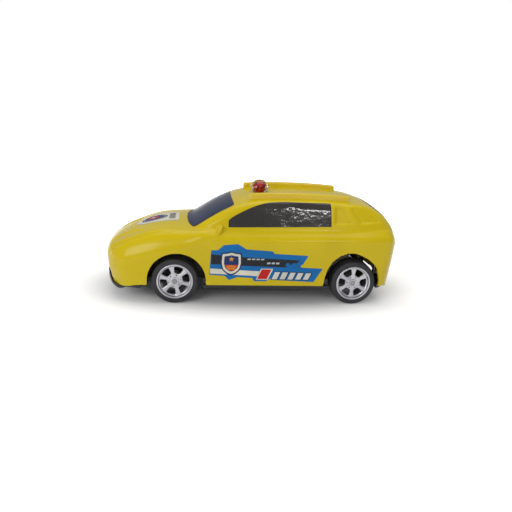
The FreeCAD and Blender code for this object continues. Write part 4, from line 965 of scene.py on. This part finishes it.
def make_beacon():
    low, high = box_mm("beacon_lens")
    centre = ((low[0] + high[0]) / 2, (low[1] + high[1]) / 2)
    radius = (high[0] - low[0]) / 2
    base, top = low[2], high[2]
    lens = gem("beacon_gem", [(0.66 * radius, base, 0), (0.8 * radius, base + 0.8, 0.5),
                              (radius, base + 2.7, 0), (0.97 * radius, base + 3.6, 0.5),
                              (0.8 * radius, base + 5.1, 0), (0.5 * radius, top - 0.3, 0.5),
                              (0.3 * radius, top, 0)], 12, centre)
    dress(lens, "car", "beacon_lens", "clear_lens", GLASS)
    core_low, core_high = box_mm("beacon_core")
    waist = (core_high[0] - core_low[0]) / 2
    core = gem("beacon_reflector", [(0.4 * waist, core_low[2], 0), (0.42 * waist, base, 0.5),
                                    (0.62 * waist, base + 1.6, 0), (0.84 * waist, base + 3.2, 0.5),
                                    (0.62 * waist, base + 4.2, 0), (0.2 * waist, base + 4.6, 0.5)],
               7, centre)
    dress(core, "car", "beacon_core", "red_core", RED)


make_shell()
make_films()
make_wheels()
make_beacon()

CAD_FINISHES = {"chassis": BLACK, "front_axle_keeper": BLACK, "motor_case_left": GREY,
                "motor_case_right": GREY, "idler_gear": IVORY, "spring_gear": IVORY}
for name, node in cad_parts.items():
    node.data.materials.clear()
    node.data.materials.append(CAD_FINISHES.get(name, STEEL))


# ---------------------------------------------------------------------------------------
# Camera, floor and lights
# ---------------------------------------------------------------------------------------

CAMERA_PLACE = (-30.34, -272.21, 103.02)
CAMERA_TURN, CAMERA_DIP, CAMERA_ROLL = 7.122, 17.332, 3.086
CAMERA_LENS = 35.30


def make_camera():
    """The camera stands off the left side, a little above the roof, and looks down at the car."""
    place = Vector(CAMERA_PLACE) * MM
    turn, dip, roll = (math.radians(angle) for angle in (CAMERA_TURN, CAMERA_DIP, CAMERA_ROLL))
    ahead = Vector((math.sin(turn) * math.cos(dip), math.cos(turn) * math.cos(dip), -math.sin(dip)))
    level = Vector((math.cos(turn), -math.sin(turn), 0))
    above = level.cross(ahead)
    right = level * math.cos(roll) + above * math.sin(roll)
    up = above * math.cos(roll) - level * math.sin(roll)
    camera = bpy.data.objects.new("camera", bpy.data.cameras.new("camera"))
    bpy.context.scene.collection.objects.link(camera)
    camera.matrix_world = Matrix.Translation(place) @ Matrix((right, up, -ahead)).transposed().to_4x4()
    camera.data.sensor_width = 36.0
    camera.data.lens = CAMERA_LENS
    camera.data.clip_start, camera.data.clip_end = 0.01, 20.0
    bpy.context.scene.camera = camera


FLOOR_HALF = 4000.0
# The floor's glow: from and to which distance in metres it grows, and by how much. It is held back in an
# oval round the car, which paints a shadow under it.
FLOOR_GLOW_PAINTED_SHADOW = ((0.027, 0.056, 0.42), (0.056, 0.3, 0.6))


def make_floor():
    """A pale floor that keeps the car's shadow, darkened further by painted shadow where its glow is held
    back round the car, and reads as white further out.
    """
    half = FLOOR_HALF
    corners = np.array([[-half, -half, 0], [half, -half, 0], [half, half, 0], [-half, half, 0]])
    floor = mesh_object("floor", corners, [[0, 1, 2, 3]])
    material = bpy.data.materials.new("floor")
    material.use_nodes = True
    nodes, links = material.node_tree.nodes, material.node_tree.links
    shader = nodes["Principled BSDF"]
    shader.inputs["Base Color"].default_value = (0.8, 0.8, 0.8, 1)
    shader.inputs["Roughness"].default_value = 0.8
    shader.inputs["Specular IOR Level"].default_value = 0.1
    shader.inputs["Emission Color"].default_value = (1, 1, 1, 1)
    place = nodes.new("ShaderNodeTexCoord")
    length = nodes.new("ShaderNodeVectorMath")
    length.operation = "LENGTH"
    squeeze = nodes.new("ShaderNodeVectorMath")
    squeeze.operation = "MULTIPLY"
    squeeze.inputs[1].default_value = (0.5, 1.0, 1.0)
    links.new(place.outputs["Object"], squeeze.inputs[0])
    links.new(squeeze.outputs["Vector"], length.inputs[0])
    total = nodes.new("ShaderNodeMath")
    total.operation = "ADD"
    # The glow starts only some way from the car, so the floor near it stays dark: a painted shadow.
    for index, (start, end, most) in enumerate(FLOOR_GLOW_PAINTED_SHADOW):
        glow = nodes.new("ShaderNodeMapRange")
        glow.interpolation_type = "SMOOTHSTEP"
        for socket, value in (("From Min", start), ("From Max", end), ("To Min", 0.0), ("To Max", most)):
            glow.inputs[socket].default_value = value
        links.new(length.outputs["Value"], glow.inputs["Value"])
        links.new(glow.outputs["Result"], total.inputs[index])
    seen = seen_rays(nodes, links)
    strength = nodes.new("ShaderNodeMath")
    strength.operation = "MULTIPLY"
    links.new(seen, strength.inputs[0])
    links.new(total.outputs[0], strength.inputs[1])
    links.new(strength.outputs[0], shader.inputs["Emission Strength"])
    floor.data.materials.append(material)


def seen_rays(nodes, links):
    """1 for rays from the camera, from a glossy surface or through glass, else 0."""
    path = nodes.new("ShaderNodeLightPath")
    total = path.outputs["Is Camera Ray"]
    for kind in ("Is Glossy Ray", "Is Transmission Ray"):
        highest = nodes.new("ShaderNodeMath")
        highest.operation = "MAXIMUM"
        links.new(total, highest.inputs[0])
        links.new(path.outputs[kind], highest.inputs[1])
        total = highest.outputs[0]
    return total


def panel(name, place, target, size, power):
    """A soft rectangular lamp."""
    light = bpy.data.lights.new(name, "AREA")
    light.shape = "RECTANGLE"
    light.size, light.size_y = size
    light.energy = power
    lamp = bpy.data.objects.new(name, light)
    bpy.context.scene.collection.objects.link(lamp)
    lamp.location = place
    lamp.rotation_mode = "QUATERNION"
    lamp.rotation_quaternion = (Vector(target) - Vector(place)).to_track_quat("-Z", "Y")


def make_lights():
    panel("overhead", (0.05, 0.1, 0.8), (0, 0, 0.03), (0.9, 0.6), 2.6)
    panel("front_fill", (-0.62, -0.72, 0.5), (0, 0, 0.03), (0.6, 0.45), 3.6)
    panel("window_strip", (0.21, -0.77, 0.33), (0.03, -0.025, 0.05), (0.12, 0.03), 0.3)
    world = bpy.data.worlds.new("studio")
    bpy.context.scene.world = world
    world.use_nodes = True
    nodes, links = world.node_tree.nodes, world.node_tree.links
    ground = nodes["Background"]
    ground.inputs["Color"].default_value = (1, 1, 1, 1)
    path = nodes.new("ShaderNodeLightPath")
    level = nodes.new("ShaderNodeMapRange")
    level.inputs["To Min"].default_value = 0.42
    level.inputs["To Max"].default_value = 1.0
    links.new(path.outputs["Is Camera Ray"], level.inputs["Value"])
    links.new(level.outputs["Result"], ground.inputs["Strength"])


make_camera()
make_floor()
make_lights()
bpy.context.scene.view_settings.view_transform = "Standard"
